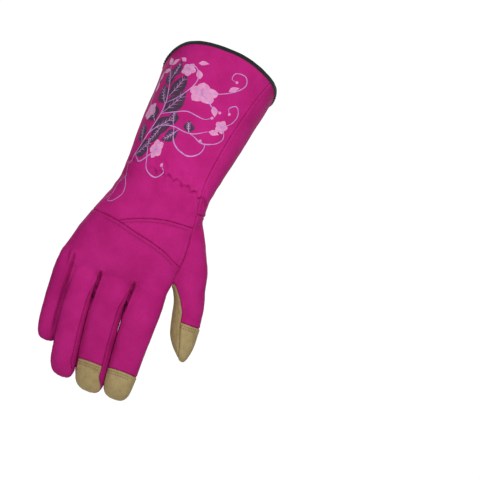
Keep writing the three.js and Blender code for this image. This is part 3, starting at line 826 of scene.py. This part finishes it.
def suede_material(name, light, middle, dark, worn):
    """Suede: mottled nap with rubbed paler patches, and a grain that shows under low light"""
    material, nodes, links, shader, place = new_material(name)
    mottle = noise(nodes, links, place, 150, 6, 0.66)
    broad = noise(nodes, links, place, 26, 3, 0.5)
    grain = noise(nodes, links, place, 1100, 5, 0.75)
    base = ramp(nodes, links, mottle, [(0.2, dark), (0.5, middle), (0.82, light)])
    patch = ramp(nodes, links, broad, [(0.52, (0, 0, 0, 1)), (0.75, (1, 1, 1, 1))])
    base = blend_colours(nodes, links, maths(nodes, links, "MULTIPLY", patch, 0.4), base, worn)
    fleck = ramp(nodes, links, grain, [(0.3, (0.8, 0.8, 0.8, 1)), (0.7, (1.1, 1.1, 1.1, 1))])
    base = blend_colours(nodes, links, 1.0, base, fleck, "MULTIPLY")
    # Painted shade: the "seam" attribute darkens the suede in seam grooves and along the pads' stitched borders
    seam = maths(nodes, links, "MULTIPLY", attribute(nodes, "seam"), 0.55)
    base = blend_colours(nodes, links, seam, base, tuple(c * 0.4 for c in dark[:3]) + (1.0,))
    links.new(base, shader.inputs["Base Color"])
    shader.inputs["Roughness"].default_value = 0.95
    shader.inputs["IOR"].default_value = 1.3
    shader.inputs["Specular IOR Level"].default_value = 0.15
    shader.inputs["Sheen Weight"].default_value = 0.05
    shader.inputs["Sheen Roughness"].default_value = 0.6
    shader.inputs["Sheen Tint"].default_value = (1.0, 0.93, 0.8, 1)
    add_bump(nodes, links, shader, [(mottle, 0.0005), (grain, 0.0003)])
    return material


def tape_material(name, light, dark):
    """Ribbed binding tape"""
    material, nodes, links, shader, place = new_material(name)
    rib = nodes.new("ShaderNodeTexWave")
    rib.inputs["Scale"].default_value = 260
    rib.inputs["Distortion"].default_value = 1.2
    rib.inputs["Detail Scale"].default_value = 2.0
    rib.bands_direction = "X"
    links.new(place, rib.inputs["Vector"])
    lint = noise(nodes, links, place, 700, 4, 0.7)
    base = ramp(nodes, links, rib.outputs["Fac"], [(0.2, dark), (0.8, light)])
    base = blend_colours(nodes, links, maths(nodes, links, "MULTIPLY", lint, 0.35), base, light)
    links.new(base, shader.inputs["Base Color"])
    shader.inputs["Roughness"].default_value = 0.8
    shader.inputs["Specular IOR Level"].default_value = 0.25
    shader.inputs["Sheen Weight"].default_value = 0.15
    add_bump(nodes, links, shader, [(rib.outputs["Fac"], 0.0003), (lint, 0.0002)])
    return material


def thread_material(name, light, dark):
    """Twisted sewing thread"""
    material, nodes, links, shader, place = new_material(name)
    twist = noise(nodes, links, place, 1400, 3, 0.6)
    links.new(ramp(nodes, links, twist, [(0.35, dark), (0.65, light)]), shader.inputs["Base Color"])
    shader.inputs["Roughness"].default_value = 0.6
    shader.inputs["Specular IOR Level"].default_value = 0.4
    add_bump(nodes, links, shader, [(twist, 0.00012)])
    return material


def print_material(name, light, dark):
    """Matt ink printed on the softshell, with the knit showing through"""
    material, nodes, links, shader, place = new_material(name)
    wear = noise(nodes, links, place, 240, 4, 0.6)
    fine = noise(nodes, links, place, 900, 4, 0.7)
    base = ramp(nodes, links, wear, [(0.35, dark), (0.65, light)])
    links.new(base, shader.inputs["Base Color"])
    shader.inputs["Roughness"].default_value = 0.72
    shader.inputs["Specular IOR Level"].default_value = 0.25
    shader.inputs["Sheen Weight"].default_value = 0.1
    add_bump(nodes, links, shader, [(fine, 0.00018)])
    return material


MAGENTA = softshell_material("softshell_magenta", linear(187, 36, 124), linear(172, 27, 110))
# A darker copy of the magenta softshell: painted shade for the strips between the fingers
MAGENTA_SHADED = softshell_material("softshell_shaded", linear(176, 30, 114), linear(160, 22, 100))
SUEDE = suede_material("suede_palm", linear(180, 160, 113), linear(165, 145, 101), linear(142, 122, 81),
                       linear(188, 170, 125))
SUEDE_CAP = suede_material("suede_cap", linear(184, 163, 117), linear(171, 150, 105), linear(150, 129, 86),
                           linear(192, 173, 128))
SUEDE_PAD = suede_material("suede_pad", linear(176, 156, 109), linear(161, 141, 97), linear(138, 118, 77),
                           linear(184, 166, 121))
TAPE = tape_material("binding_tape", linear(27, 35, 30), linear(9, 14, 12))
THREAD_PINK = thread_material("thread_magenta", linear(160, 30, 106), linear(112, 14, 72))
THREAD_TAN = thread_material("thread_tan", linear(122, 92, 58), linear(84, 60, 34))
INK_PINK = print_material("ink_pink", linear(216, 148, 190), linear(202, 126, 174))
INK_PLUM = print_material("ink_plum", linear(78, 48, 74), linear(58, 36, 56))
INK_LILAC = print_material("ink_lilac", linear(196, 146, 204), linear(174, 120, 184))

FINISHES = {
    "cuff_back": (MAGENTA, "softshell"),
    "cuff_palm": (MAGENTA, "softshell"),
    "hand_back": (MAGENTA, "softshell"),
    "back_wedge": (MAGENTA, "softshell"),
    "thumb_back": (MAGENTA, "softshell"),
    # The strips between the fingers take the darker copy, as painted shade
    "fourchette_little_ring": (MAGENTA_SHADED, "softshell"),
    "fourchette_ring_middle": (MAGENTA_SHADED, "softshell"),
    "fourchette_middle_index": (MAGENTA_SHADED, "softshell"),
    "palm_leather": (SUEDE, "suede"),
    "thumb_palm": (SUEDE, "suede"),
    "thumb_cap": (SUEDE_CAP, "suede"),
    "middle_cap": (SUEDE_CAP, "suede"),
    "index_cap": (SUEDE_CAP, "suede"),
}


# Making the skin

skin, triangles = whole_skin()
edges = edges_of(triangles)
crotch = bump(skin[:, 2] + 94, 14) * smoothstep(HALF * 1.1 - np.abs(skin[:, 0]), -20, 5)
relax = 0.25 + 0.2 * crotch
skin = smoothed(skin, edges, 26, np.clip(relax, 0, 0.6)[:, None])
skin = smoothed(skin, edges, 30, (0.6 * crotch * (skin[:, 1] > 4))[:, None])
skin = brought_together(skin)
skin, label = cut_panels(skin, triangles)

seam_number = np.full(len(skin), False)
for number in range(1, len(PANELS)):
    inside = np.zeros(len(skin), bool)
    inside[triangles[label == number].ravel()] = True
    outside = np.zeros(len(skin), bool)
    outside[triangles[(label != number) & (label > 0)].ravel()] = True
    seam_number |= inside & outside
seam_points = skin[seam_number]
seam_away = nearest_distance(skin, seam_points)
normal = normals_of(skin, triangles)
fold, fold_shade = folds(skin, normal)
skin = skin + normal * fold[:, None]
pucker = 1 + 0.35 * ripple(skin, 2.4, 5.0)
ends = np.array([HAND_LENGTH * f["drop"] for f in FINGERS])[finger_number(skin[:, 0], skin[:, 2])]
ends = np.where(skin[:, 0] > 48, THUMB_LENGTH + 2.5, ends)
firm = 1 - 0.6 * smoothstep(-skin[:, 2], ends - 12, ends - 4)
groove = firm * (-0.75 * bump(seam_away, 0.8) * pucker + 0.35 * bump(seam_away - 1.9, 1.1))
skin = skin + normal * groove[:, None]
normal = normals_of(skin, triangles)
# Painted shade: the cloth's colour is darkened along the seam grooves and, through fold_shade, in the creases of the
# folds
seam_shade = 0.24 * bump(seam_away, 0.65) + fold_shade

def overlap(name, p):
    """How far a panel's edge lies over its neighbour where it is top-stitched down"""
    x, _, z = p.T
    if name == "hand_back":
        return 0.35 * bump(z - seam_height(HAND_SEAM, x), 3.6)
    if name == "back_wedge":
        return 0.3 * bump(z - seam_height(WEDGE_SEAM, x), 3.2)
    if name == "cuff_palm":
        return 0.9 * bump(z + PALM_SEAM_DROP, 4.5) * smoothstep(p[:, 1], -6, 10)
    if name in ("index_cap", "middle_cap", "thumb_cap"):
        return np.full(len(p), 0.3)
    return np.zeros(len(p))


panels = {}
for number, (name, _) in enumerate(PANELS):
    if name not in FINISHES:
        continue
    used, faces = panel_of(skin, triangles, label, number)
    outer = skin[used] + normal[used] * overlap(name, skin[used])[:, None]
    inner = skin[used] - WALL * normal[used]
    points, closed = closed_sheet(outer, inner, faces)
    piece = add_mesh(name + "_cloth", points, closed)
    # The painted shade of seams and folds is kept in the "seam" attribute, which the materials darken by
    add_values(piece, "seam", np.concatenate([seam_shade[used], seam_shade[used]]))
    material, slot = FINISHES[name]
    panels[name] = dress(piece, material, slot, name)


# Pads: quilted suede pieces on the palm, crowned between their stitched borders

def spline_loop(corners, steps=10):
    """A smooth closed line through corners"""
    corners = np.asarray(corners, float)
    before, after, beyond = (np.roll(corners, k, axis=0) for k in (1, -1, -2))
    t = np.linspace(0, 1, steps, endpoint=False)[None, :, None]
    p0, p1, p2, p3 = (c[:, None, :] for c in (before, corners, after, beyond))
    line = 0.5 * (2 * p1 + (p2 - p0) * t + (2 * p0 - 5 * p1 + 4 * p2 - p3) * t ** 2
                  + (3 * p1 - p0 - 3 * p2 + p3) * t ** 3)
    return line.reshape(-1, 2)


def depth_inside(places, loop):
    """How far inside a closed line places are, below zero outside it"""
    start, end = loop, np.roll(loop, -1, axis=0)
    run = end - start
    best = np.full(len(places), 1e9)
    inside = np.zeros(len(places), bool)
    for a, b, d in zip(start, end, run):
        rel = places - a
        t = np.clip((rel @ d) / max(1e-9, d @ d), 0, 1)
        best = np.minimum(best, np.hypot(*(rel - t[:, None] * d).T))
        crosses = (a[1] > places[:, 1]) != (b[1] > places[:, 1])
        level = a[0] + (places[:, 1] - a[1]) / (b[1] - a[1] if b[1] != a[1] else 1e-9) * d[0]
        inside ^= crosses & (places[:, 0] < level)
    return np.where(inside, best, -best)


palm_loops = {name: spline_loop(corners) * [HALF, -KNUCKLE_DROP] for name, corners in PADS.items()}
palm_number = [name for name, _ in PANELS].index("palm_leather")
palm_used, palm_faces = panel_of(skin, triangles, label, palm_number)
for name, loop in palm_loops.items():
    palm_points = skin[palm_used]
    box = (loop.min(axis=0) - 6, loop.max(axis=0) + 6)
    plane = palm_points[:, [0, 2]]
    near = np.all((plane > box[0]) & (plane < box[1]), axis=1) & (palm_points[:, 1] > 2)
    depth = np.full(len(palm_points), -50.0)
    depth[near] = depth_inside(plane[near], loop)
    palm_edges = edges_of(palm_faces)
    palm_points, depth = snap_to_zero(palm_points, palm_edges, depth, near)
    inside = (depth[palm_faces].min(axis=1) > -1e-6) & (depth[palm_faces].max(axis=1) > 0)
    faces = palm_faces[inside]
    used, faces = np.unique(faces, return_inverse=True)
    faces = faces.reshape(-1, 3)
    d = depth[used]
    out = normal[palm_used][used]
    rise = (0.55 + 1.5 * (1 - np.exp(-np.maximum(d, 0) / 1.5)) + 0.5 * smoothstep(d, 2, 12)
            - 0.5 * bump(d - 1.3, 0.7) - 0.8 * bump(d - 3.6, 0.9) + 0.2 * ripple(palm_points[used], 4.5, 2.0)
            + 0.9 * smoothstep(d, 4, 9))
    outer = palm_points[used] + out * rise[:, None]
    inner = palm_points[used] - out * 0.2
    points, closed = closed_sheet(outer, inner, faces)
    piece = add_mesh(name + "_cloth", points, closed)
    # Painted shade along each pad's border and in the grooves of its stitch rows, kept in the "seam" attribute
    shade = 0.5 * bump(d, 0.6) + 0.14 * bump(d - 1.3, 0.6) + 0.18 * bump(d - 3.6, 0.7)
    add_values(piece, "seam", np.concatenate([shade, shade]))
    dress(piece, SUEDE_PAD, "suede", name)


# Binding: a folded tape round the rim

def binding():
    around = np.linspace(-np.pi, np.pi, 260, endpoint=False)
    profile = [(0.4, 1.3), (1.0, 1.3), (1.35, 1.9), (1.4, 2.8), (1.3, 4.0), (0.9, 5.0), (0.1, 5.5), (-1.0, 5.6),
               (-2.0, 5.3), (-2.6, 4.4), (-2.8, 2.8), (-2.7, 1.8), (-2.4, 1.1), (-1.8, 0.9), (-0.8, 1.8)]
    rings = []
    for grow, rise in profile:
        wobble = 0.08 * np.sin(around * 23 + rise) * np.sin(around * 5)
        height = rim_height(around) + rise + wobble * 0.6
        rings.append(body_point(height, around, grow + wobble))
    rings = np.asarray(rings).transpose(1, 0, 2)
    count, sides, _ = rings.shape
    index = np.arange(count * sides).reshape(count, sides)
    step, turn = np.roll(index, -1, axis=0), np.roll(index, -1, axis=1)
    both = np.roll(step, -1, axis=1)
    faces = np.stack([index, turn, both, step], axis=-1).reshape(-1, 4)
    return rings.reshape(-1, 3), faces


tape_points, tape_faces = binding()
tape = add_mesh("cuff_binding_tape", tape_points, tape_faces)
dress(tape, TAPE, "binding", "cuff_binding")


# Places on the finished skin

skin_tree = BVHTree.FromPolygons(skin.tolist(), triangles.tolist())


def seen_from(side, places):
    """Points and normals of the skin under places across and up, from the back (-1) or the palm (1)"""
    points, normals, kept = [], [], []
    for i, (x, z) in enumerate(places):
        hit, out, _, _ = skin_tree.ray_cast(Vector((x, 220 * side, z)), Vector((0, -side, 0)))
        if hit is not None:
            points.append(hit)
            normals.append(out if out.y * side > 0 else -out)
            kept.append(i)
    return np.array(points), np.array(normals), kept


def on_cuff(places):
    """Points and normals of the skin at angles round the cuff, in degrees, and heights up it"""
    places = np.asarray(places, float)
    near = body_point(places[:, 1], np.radians(places[:, 0]), 0.5)
    points, normals = [], []
    for place in near:
        hit, out, _, _ = skin_tree.find_nearest(Vector(place))
        points.append(hit)
        normals.append(out)
    points, normals = np.array(points), np.array(normals)
    middle = body_point(places[:, 1], np.radians(places[:, 0]), -20)
    inward = ((points - middle) * normals).sum(axis=1) < 0
    normals[inward] *= -1
    return points, normals


# Stitches: one short raised thread each

def resampled(line, pitch):
    line = np.asarray(line, float)
    run = np.concatenate([[0], np.cumsum(np.linalg.norm(np.diff(line, axis=0), axis=1))])
    count = max(2, int(run[-1] / pitch))
    at = np.linspace(0, run[-1], count)
    return np.stack([np.interp(at, run, line[:, k]) for k in range(line.shape[1])], axis=-1)


def threads(name, rows, material, slot, length=1.9, thickness=0.3, height=0.35):
    """One mesh with a stitch for each start and end on the skin, given with the skin's normals"""
    points, faces = [], []
    turn = np.linspace(0, 2 * np.pi, 6, endpoint=False)
    for starts, ends, normals in rows:
        for a, b, n in zip(starts, ends, normals):
            along = b - a
            size = np.linalg.norm(along)
            if size < 0.3 or size > 5:
                continue
            side = np.cross(along / size, n)
            base = sum(len(ring) for ring in points)
            for share, wide, rise in ((0, 0.4, -0.15), (0.14, 0.85, 0.5), (0.5, 1, 1), (0.86, 0.85, 0.5),
                                      (1, 0.4, -0.15)):
                middle = a + along * share + n * rise * height
                points.append(middle + thickness * wide * (np.cos(turn)[:, None] * side
                                                           + np.sin(turn)[:, None] * n))
            ring = base + np.arange(30).reshape(5, 6)
            nxt = np.roll(ring, -1, axis=1)
            faces += np.stack([ring[:-1], nxt[:-1], nxt[1:], ring[1:]], axis=-1).reshape(-1, 4).tolist()
            faces += [ring[0][::-1].tolist(), ring[-1].tolist()]
    piece = add_mesh(name, np.concatenate(points), faces)
    return dress(piece, material, slot)


def stitch_row(line, side, length=1.9, gap=1.1, lift=0.0):
    """Starts, ends and normals of stitches along a line of places, seen from one side"""
    even = resampled(line, 0.5)
    points, normals, _ = seen_from(side, even)
    points = points + normals * lift
    run = np.concatenate([[0], np.cumsum(np.linalg.norm(np.diff(points, axis=0), axis=1))])
    starts = np.arange(0.5, run[-1] - length, length + gap)

    def at(place, values):
        return np.stack([np.interp(place, run, values[:, k]) for k in range(3)], axis=-1)

    middle = at(starts + length / 2, normals)
    return at(starts, points), at(starts + length, points), middle / np.linalg.norm(middle, axis=1)[:, None]


def seam_row(table, first, last, away):
    x = np.linspace(first, last, 60)
    return np.stack([x, seam_height(table, x) + away], axis=-1)


def cap_row(finger, away, reach=0.86):
    top = -HAND_LENGTH * finger["drop"] + CAP_LENGTH
    middle = finger_middle(finger, top)[0]
    half = KNUCKLE_WIDTH * finger["width"] / 2
    x = np.linspace(middle - half * reach, middle + half * 0.55, 30)
    return np.stack([x, top - 1.5 * ((x - middle) / (half * 1.1)) ** 2 - away], axis=-1)


back_rows = [
    stitch_row(seam_row(HAND_SEAM, -43, 34, -STITCH_DROP), -1, length=1.6, gap=1.3, lift=0.5),
    stitch_row(seam_row(WEDGE_SEAM, -26, 36, -STITCH_DROP), -1, length=1.6, gap=1.3, lift=0.4),
]
threads("stitches_back", back_rows, THREAD_PINK, "softshell")
cap_rows = [stitch_row(cap_row(finger, away), -1, length=1.5, gap=0.9, lift=0.3)
            for finger in (MIDDLE, INDEX) for away in (2.0, 4.6)]
thumb_top = -THUMB_LENGTH + THUMB_CAP_LENGTH
for away in (2.0, 4.4):
    places = [(x, thumb_top - away) for x in np.linspace(59, 76, 24)]
    cap_rows.append(stitch_row(places, -1, length=1.5, gap=0.9, lift=0.3))
threads("stitches_caps", cap_rows, THREAD_TAN, "suede", thickness=0.26)


def inset(loop, away):
    """A closed line drawn in from another by a distance"""
    before, after = np.roll(loop, 1, axis=0), np.roll(loop, -1, axis=0)
    run = after - before
    side = np.stack([-run[:, 1], run[:, 0]], axis=-1) / np.maximum(1e-6, np.linalg.norm(run, axis=1))[:, None]
    area = (loop[:, 0] * np.roll(loop[:, 1], -1) - np.roll(loop[:, 0], -1) * loop[:, 1]).sum()
    moved = loop + side * away * np.sign(area)
    return moved[depth_inside(moved, loop) > away * 0.8]


pad_rows = []
for loop in palm_loops.values():
    for away in (1.3, 3.6):
        line = inset(loop, away)
        pad_rows.append(stitch_row(np.concatenate([line, line[:1]]), 1, length=1.6, gap=1.2, lift=1.5))
threads("stitches_pads", pad_rows, THREAD_TAN, "suede", thickness=0.34)
tape_rows = []
for first in range(-178, 178, 4):
    starts, normals = on_cuff([(first, 127), (first + 2.2, 127)])
    rise = rim_height(np.radians([first, first + 2.2])) + 2.3
    places = body_point(rise, np.radians([first, first + 2.2]), 1.35)
    tape_rows.append((places[:1], places[1:], normals[:1]))
threads("stitches_binding", tape_rows, TAPE, "binding", thickness=0.25)


# The print: a generic spray of leaves, round blossoms and tendrils on the cuff's outer side

def spline(corners, steps=8):
    """A smooth open line through corners"""
    corners = np.asarray(corners, float)
    ends = np.concatenate([2 * corners[:1] - corners[1:2], corners, 2 * corners[-1:] - corners[-2:-1]])
    line = []
    for p0, p1, p2, p3 in zip(ends[:-3], ends[1:-2], ends[2:-1], ends[3:]):
        for t in np.linspace(0, 1, steps, endpoint=False):
            line.append(0.5 * (2 * p1 + (p2 - p0) * t + (2 * p0 - 5 * p1 + 4 * p2 - p3) * t ** 2
                               + (3 * p1 - p0 - 3 * p2 + p3) * t ** 3))
    line.append(corners[-1])
    return np.array(line)


class Ink:
    """Flat printed shapes gathered into one mesh, laid on the cloth by a way of placing them"""

    def __init__(self, place, lift):
        self.place = place
        self.lift = lift
        self.points = []
        self.faces = []

    def blade(self, line, widths, columns=4):
        """A shape along a line, with half widths at each of its points"""
        line = resampled(line, max(0.6, np.linalg.norm(np.diff(line, axis=0), axis=1).sum() / 48))
        along = np.gradient(line, axis=0)
        along /= np.maximum(1e-6, np.linalg.norm(along, axis=1))[:, None]
        side = np.stack([-along[:, 1], along[:, 0]], axis=-1)
        wide = np.interp(np.linspace(0, 1, len(line)), np.linspace(0, 1, len(widths)), widths)
        across = np.linspace(-1, 1, columns + 1)
        grid = line[:, None] + side[:, None] * wide[:, None, None] * across[None, :, None]
        points, normals = self.place(grid.reshape(-1, 2))
        if points is None:
            return
        start = sum(len(p) for p in self.points)
        index = start + np.arange(len(points)).reshape(len(line), columns + 1)
        self.points.append(points + normals * self.lift)
        self.faces += np.stack([index[:-1, :-1], index[1:, :-1], index[1:, 1:], index[:-1, 1:]],
                               axis=-1).reshape(-1, 4).tolist()

    def line(self, corners, width=0.4, smooth=True):
        path = spline(corners) if smooth else np.asarray(corners, float)
        self.blade(path, [width * 0.5, width, width, width, width * 0.4], columns=2)

    def leaf(self, base, turn, length, wide, bend=0.0):
        """A pointed leaf from its base, turned from straight up"""
        share = np.linspace(0, 1, 14)
        heading = math.radians(turn) + np.radians(bend) * share
        line = np.asarray(base, float) + np.cumsum(
            np.stack([np.sin(heading), np.cos(heading)], axis=-1), axis=0) * length / 14
        self.blade(line, [0.05, 0.42 * wide, 0.8 * wide, wide, 0.97 * wide, 0.8 * wide, 0.52 * wide, 0.22 * wide,
                          0.02])
        return line

    def petal(self, base, turn, length, wide):
        """A round-ended petal from the middle of a blossom"""
        heading = math.radians(turn)
        tip = np.asarray(base, float) + length * np.array([math.sin(heading), math.cos(heading)])
        self.blade(np.linspace(base, tip, 12), [0.12 * wide, 0.4 * wide, 0.75 * wide, wide, 0.98 * wide, 0.7 * wide,
                                                0.1])
        return tip

    def mesh(self, name, material):
        piece = add_mesh(name, np.concatenate(self.points), self.faces)
        return dress(piece, material, "softshell")


def cuff_place(places):
    """Design places round the cuff: millimetres towards the outer side from its back, and up"""
    return on_cuff([(max(-179.0, -90 - a / 0.86), up) for a, up in places])


plum = Ink(cuff_place, 0.16)
pink = Ink(cuff_place, 0.24)
lilac = Ink(cuff_place, 0.32)

# Two stems rise from the wrist, with broad dark leaves on both sides
main_stem = spline([(56, 8), (44, 26), (36, 44), (33, 62), (37, 82), (48, 108)])
side_stem = spline([(40, 34), (28, 42), (14, 44), (0, 42), (-12, 50)])
lilac.blade(main_stem, [0.5, 0.6, 0.6, 0.5, 0.3], columns=2)
lilac.blade(side_stem, [0.5, 0.5, 0.5, 0.45, 0.3], columns=2)
DARK_LEAVES = [
    (50, 16, -66, 26, 7.0, 30), (44, 26, 40, 22, 6.2, -26), (40, 36, -70, 32, 8.6, 40), (36, 45, 48, 26, 7.6, -30),
    (34, 54, -46, 34, 9.2, 30), (33, 64, 40, 27, 7.8, -24), (34, 72, -34, 30, 8.2, 26), (37, 84, 30, 22, 6.2, -18),
    (40, 92, -22, 22, 5.8, 18), (26, 43, 164, 20, 5.8, -34), (14, 44, 32, 18, 5.2, -30), (8, 43, 150, 18, 5.0, -34),
    (0, 42, 26, 13, 3.8, -20),
]
for a, up, turn, length, wide, bend in DARK_LEAVES:
    middle = plum.leaf((a, up), turn, length, wide, bend)
    lilac.blade(middle[:12], [0.3, 0.34, 0.3, 0.12], columns=2)
    for share in (3, 5, 7, 9):
        along = middle[share] - middle[share - 1]
        heading = math.atan2(along[0], along[1])
        for hand_side in (-1, 1):
            tip = middle[share] + wide * 0.62 * np.array([math.sin(heading + hand_side * 0.7),
                                                          math.cos(heading + hand_side * 0.7)])
            lilac.blade(np.linspace(middle[share], tip, 4), [0.22, 0.2, 0.08], columns=2)

# Round five-petalled blossoms, a bud spray and loose pale leaves
BLOSSOMS = [(4, 84, 11, 10), (52, 58, 9.5, 40), (-22, 60, 7.0, 0), (22, 24, 7.5, 25), (24, 104, 7.5, 50)]
for a, up, size, start in BLOSSOMS:
    for k in range(5):
        turn = start + 72 * k
        tip = pink.petal((a, up), turn, size, size * 0.42)
        lilac.blade(np.linspace((a, up), mix(np.array([a, up]), tip, 0.62), 5), [0.24, 0.26, 0.1], columns=2)
    for k in range(8):
        turn = math.radians(45 * k)
        spot = np.array([a + 0.28 * size * math.sin(turn), up + 0.28 * size * math.cos(turn)])
        plum_dot = spot + np.array([[0, -0.55], [0, 0.55]])
        lilac.blade(plum_dot, [0.1, 0.55, 0.1], columns=2)
PALE_LEAVES = [(48, 108, 24, 13, 3.0, 20), (48, 108, -44, 12, 2.8, -20), (45, 102, 74, 12, 2.8, 30),
               (-12, 50, -70, 12, 2.8, -20), (-6, 76, -142, 12, 2.8, -20), (10, 96, 20, 12, 2.8, 20),
               (58, 80, 10, 16, 3.0, 12), (60, 92, -20, 13, 2.6, 18), (-12, 94, -30, 12, 2.6, -20),
               (18, 112, -66, 10, 2.4, -20), (30, 112, 50, 9, 2.2, 20)]
for a, up, turn, length, wide, bend in PALE_LEAVES:
    pink.leaf((a, up), turn, length, wide, bend)

# Tendrils with curled ends
TENDRILS = [
    [(33, 66), (22, 74), (14, 86), (12, 98), (18, 108), (27, 108), (29, 101), (24, 99)],
    [(4, 84), (-8, 90), (-18, 98), (-24, 108), (-20, 116), (-11, 115), (-10, 108), (-15, 107)],
    [(0, 42), (-12, 38), (-24, 42), (-30, 50), (-26, 57), (-20, 54)],
    [(14, 44), (8, 32), (-4, 26), (-14, 30), (-16, 37), (-10, 39)],
    [(-22, 60), (-30, 68), (-32, 78), (-26, 85), (-20, 80), (-23, 75)],
    [(56, 8), (52, -2), (42, -10), (37, -20), (43, -29), (51, -30), (52, -24)],
    [(52, -2), (58, -12), (54, -22), (60, -30)],
    [(52, 58), (60, 70), (62, 82), (60, 94), (54, 104)],
    [(4, 84), (-2, 78), (-6, 74), (-14, 72)],
    [(22, 24), (30, 16), (40, 12), (50, 18)],
    [(36, 30), (30, 18), (24, 8), (12, 4), (6, 9), (10, 14)],
    [(34, 54), (20, 58), (8, 62), (-4, 60), (-10, 64)],
]
for corners in TENDRILS:
    lilac.line(corners, 0.45)
for a, up in [(24, 99), (-15, 107), (-20, 54), (-10, 39), (-23, 75), (-14, 72), (54, 104), (10, 14), (-10, 64)]:
    pink.blade(np.array([(a, up - 1.5), (a, up + 1.5)]), [0.2, 1.4, 1.4, 0.2])
plum.mesh("print_dark_leaves", INK_PLUM)
pink.mesh("print_blossoms", INK_PINK)
lilac.mesh("print_tendrils", INK_LILAC)


# Small pale sprigs on the pads of two fingers and along the thumb's inner side

def palm_place(places):
    points, normals, kept = seen_from(1, places)
    if len(kept) < len(places):
        return None, None
    return points, normals


sprigs = Ink(palm_place, 0.2)
for finger, low in ((MIDDLE, -196), (INDEX, -192)):
    middle = finger_middle(finger, low)[0]
    sprigs.line([(middle - 2, low), (middle - 3.5, low + 9), (middle + 1, low + 17), (middle - 1, low + 27)], 0.45)
    sprigs.line([(middle - 3.4, low + 8), (middle - 7, low + 13), (middle - 5, low + 18)], 0.35)
    sprigs.line([(middle + 1, low + 17), (middle + 6, low + 18), (middle + 7, low + 24)], 0.35)
    for k, (dx, dz, turn) in enumerate([(-3, 4, -60), (-3, 6, 50), (-3, 11, -40), (0, 15, 70), (1, 19, -60),
                                        (0, 23, 40), (-1, 27, 0), (-5, 18, -10), (7, 24, 10)]):
        sprigs.leaf((middle + dx, low + dz), turn, 5.6, 1.5, 12 if k % 2 else -12)
    for k in range(5):
        sprigs.petal((middle - 2, low), 36 + 72 * k, 3.6, 1.5)
sprigs.line([(57, -134), (54, -124), (52.5, -114), (50, -104), (48.5, -94), (46, -85)], 0.45)
sprigs.line([(52, -112), (54, -106), (54, -100)], 0.35)
for x, z, turn in [(55.5, -129, 60), (54, -123, -40), (53, -118, 60), (51, -109, -45), (49.5, -101, -45),
                   (48.8, -97, 55), (47, -89, 40), (46, -85, -30), (54, -100, -10)]:
    sprigs.leaf((x, z), turn, 5.0, 1.4, 12)
piece = add_mesh("print_sprigs", np.concatenate(sprigs.points), sprigs.faces)
dress(piece, INK_PINK, "suede")


# Camera, floor and light

ROLL = math.radians(20)
RIGHT = Vector((math.cos(ROLL), 0, math.sin(ROLL)))
UPWARD = Vector((-math.sin(ROLL), 0, math.cos(ROLL)))
PIXEL = 0.96 * MM
DISTANCE = 2.6


def picture_place(px, py):
    """Where a pixel of the 480 by 480 picture lies in the plane y = 0"""
    return RIGHT * (px - 164) * PIXEL - UPWARD * (py - 187) * PIXEL


camera_data = bpy.data.cameras.new("camera")
camera_data.sensor_width = 36
camera_data.lens = 36 * DISTANCE / (480 * PIXEL)
camera = bpy.data.objects.new("camera", camera_data)
bpy.context.collection.objects.link(camera)
camera.matrix_world = Matrix.Translation(picture_place(240, 240) - Vector((0, DISTANCE, 0))) @ Matrix((
    (RIGHT.x, UPWARD.x, 0, 0), (RIGHT.y, UPWARD.y, -1, 0), (RIGHT.z, UPWARD.z, 0, 0), (0, 0, 0, 1)))
bpy.context.scene.camera = camera

turns = np.linspace(0, 2 * np.pi, 96, endpoint=False)
floor = add_mesh("floor", [(900 * math.cos(t), 900 * math.sin(t), -430) for t in turns], [list(range(96))],
                 smooth=False)
floor_material, nodes, links, shader, place = new_material("floor_pale")
links.new(ramp(nodes, links, noise(nodes, links, place, 3), [(0.3, (0.86, 0.86, 0.86, 1)), (0.7, (0.9, 0.9, 0.9, 1))]),
          shader.inputs["Base Color"])
shader.inputs["Roughness"].default_value = 0.6
floor.data.materials.append(floor_material)
floor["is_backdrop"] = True


def add_light(name, place, aim, size, energy, colour=(1, 1, 1)):
    data = bpy.data.lights.new(name, "AREA")
    data.shape = "DISK"
    data.size = size
    data.energy = energy
    data.color = colour
    lamp = bpy.data.objects.new(name, data)
    bpy.context.collection.objects.link(lamp)
    lamp.location = place
    lamp.visible_camera = False
    lamp.rotation_mode = "QUATERNION"
    lamp.rotation_quaternion = (Vector(aim) - Vector(place)).to_track_quat("-Z", "Y")
    return lamp


add_light("key", (0.1, -0.55, 0.2), (0.02, 0, 0.02), 0.5, 3.05)
add_light("fill", (-1.0, -1.0, 0.1), (0, 0, -0.05), 1.0, 0.6)
add_light("back_left", (-0.8, 1.3, 0.7), (0, 0, 0), 0.8, 13)
add_light("back_right", (0.7, 1.5, 0.2), (0, 0, 0), 0.8, 5)

world = bpy.data.worlds.new("studio")
bpy.context.scene.world = world
world.use_nodes = True
world_nodes, world_links = world.node_tree.nodes, world.node_tree.links
backdrop = world_nodes["Background"]
backdrop.inputs["Color"].default_value = (1, 1, 1, 1)
ray = world_nodes.new("ShaderNodeLightPath")
strength = world_nodes.new("ShaderNodeMapRange")
strength.inputs["To Min"].default_value = 0.33
strength.inputs["To Max"].default_value = 1.05
world_links.new(ray.outputs["Is Camera Ray"], strength.inputs["Value"])
world_links.new(strength.outputs["Result"], backdrop.inputs["Strength"])
bpy.context.scene.view_settings.view_transform = "Standard"
bpy.context.scene.view_settings.look = "None"

bpy.context.view_layer.update()
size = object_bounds()
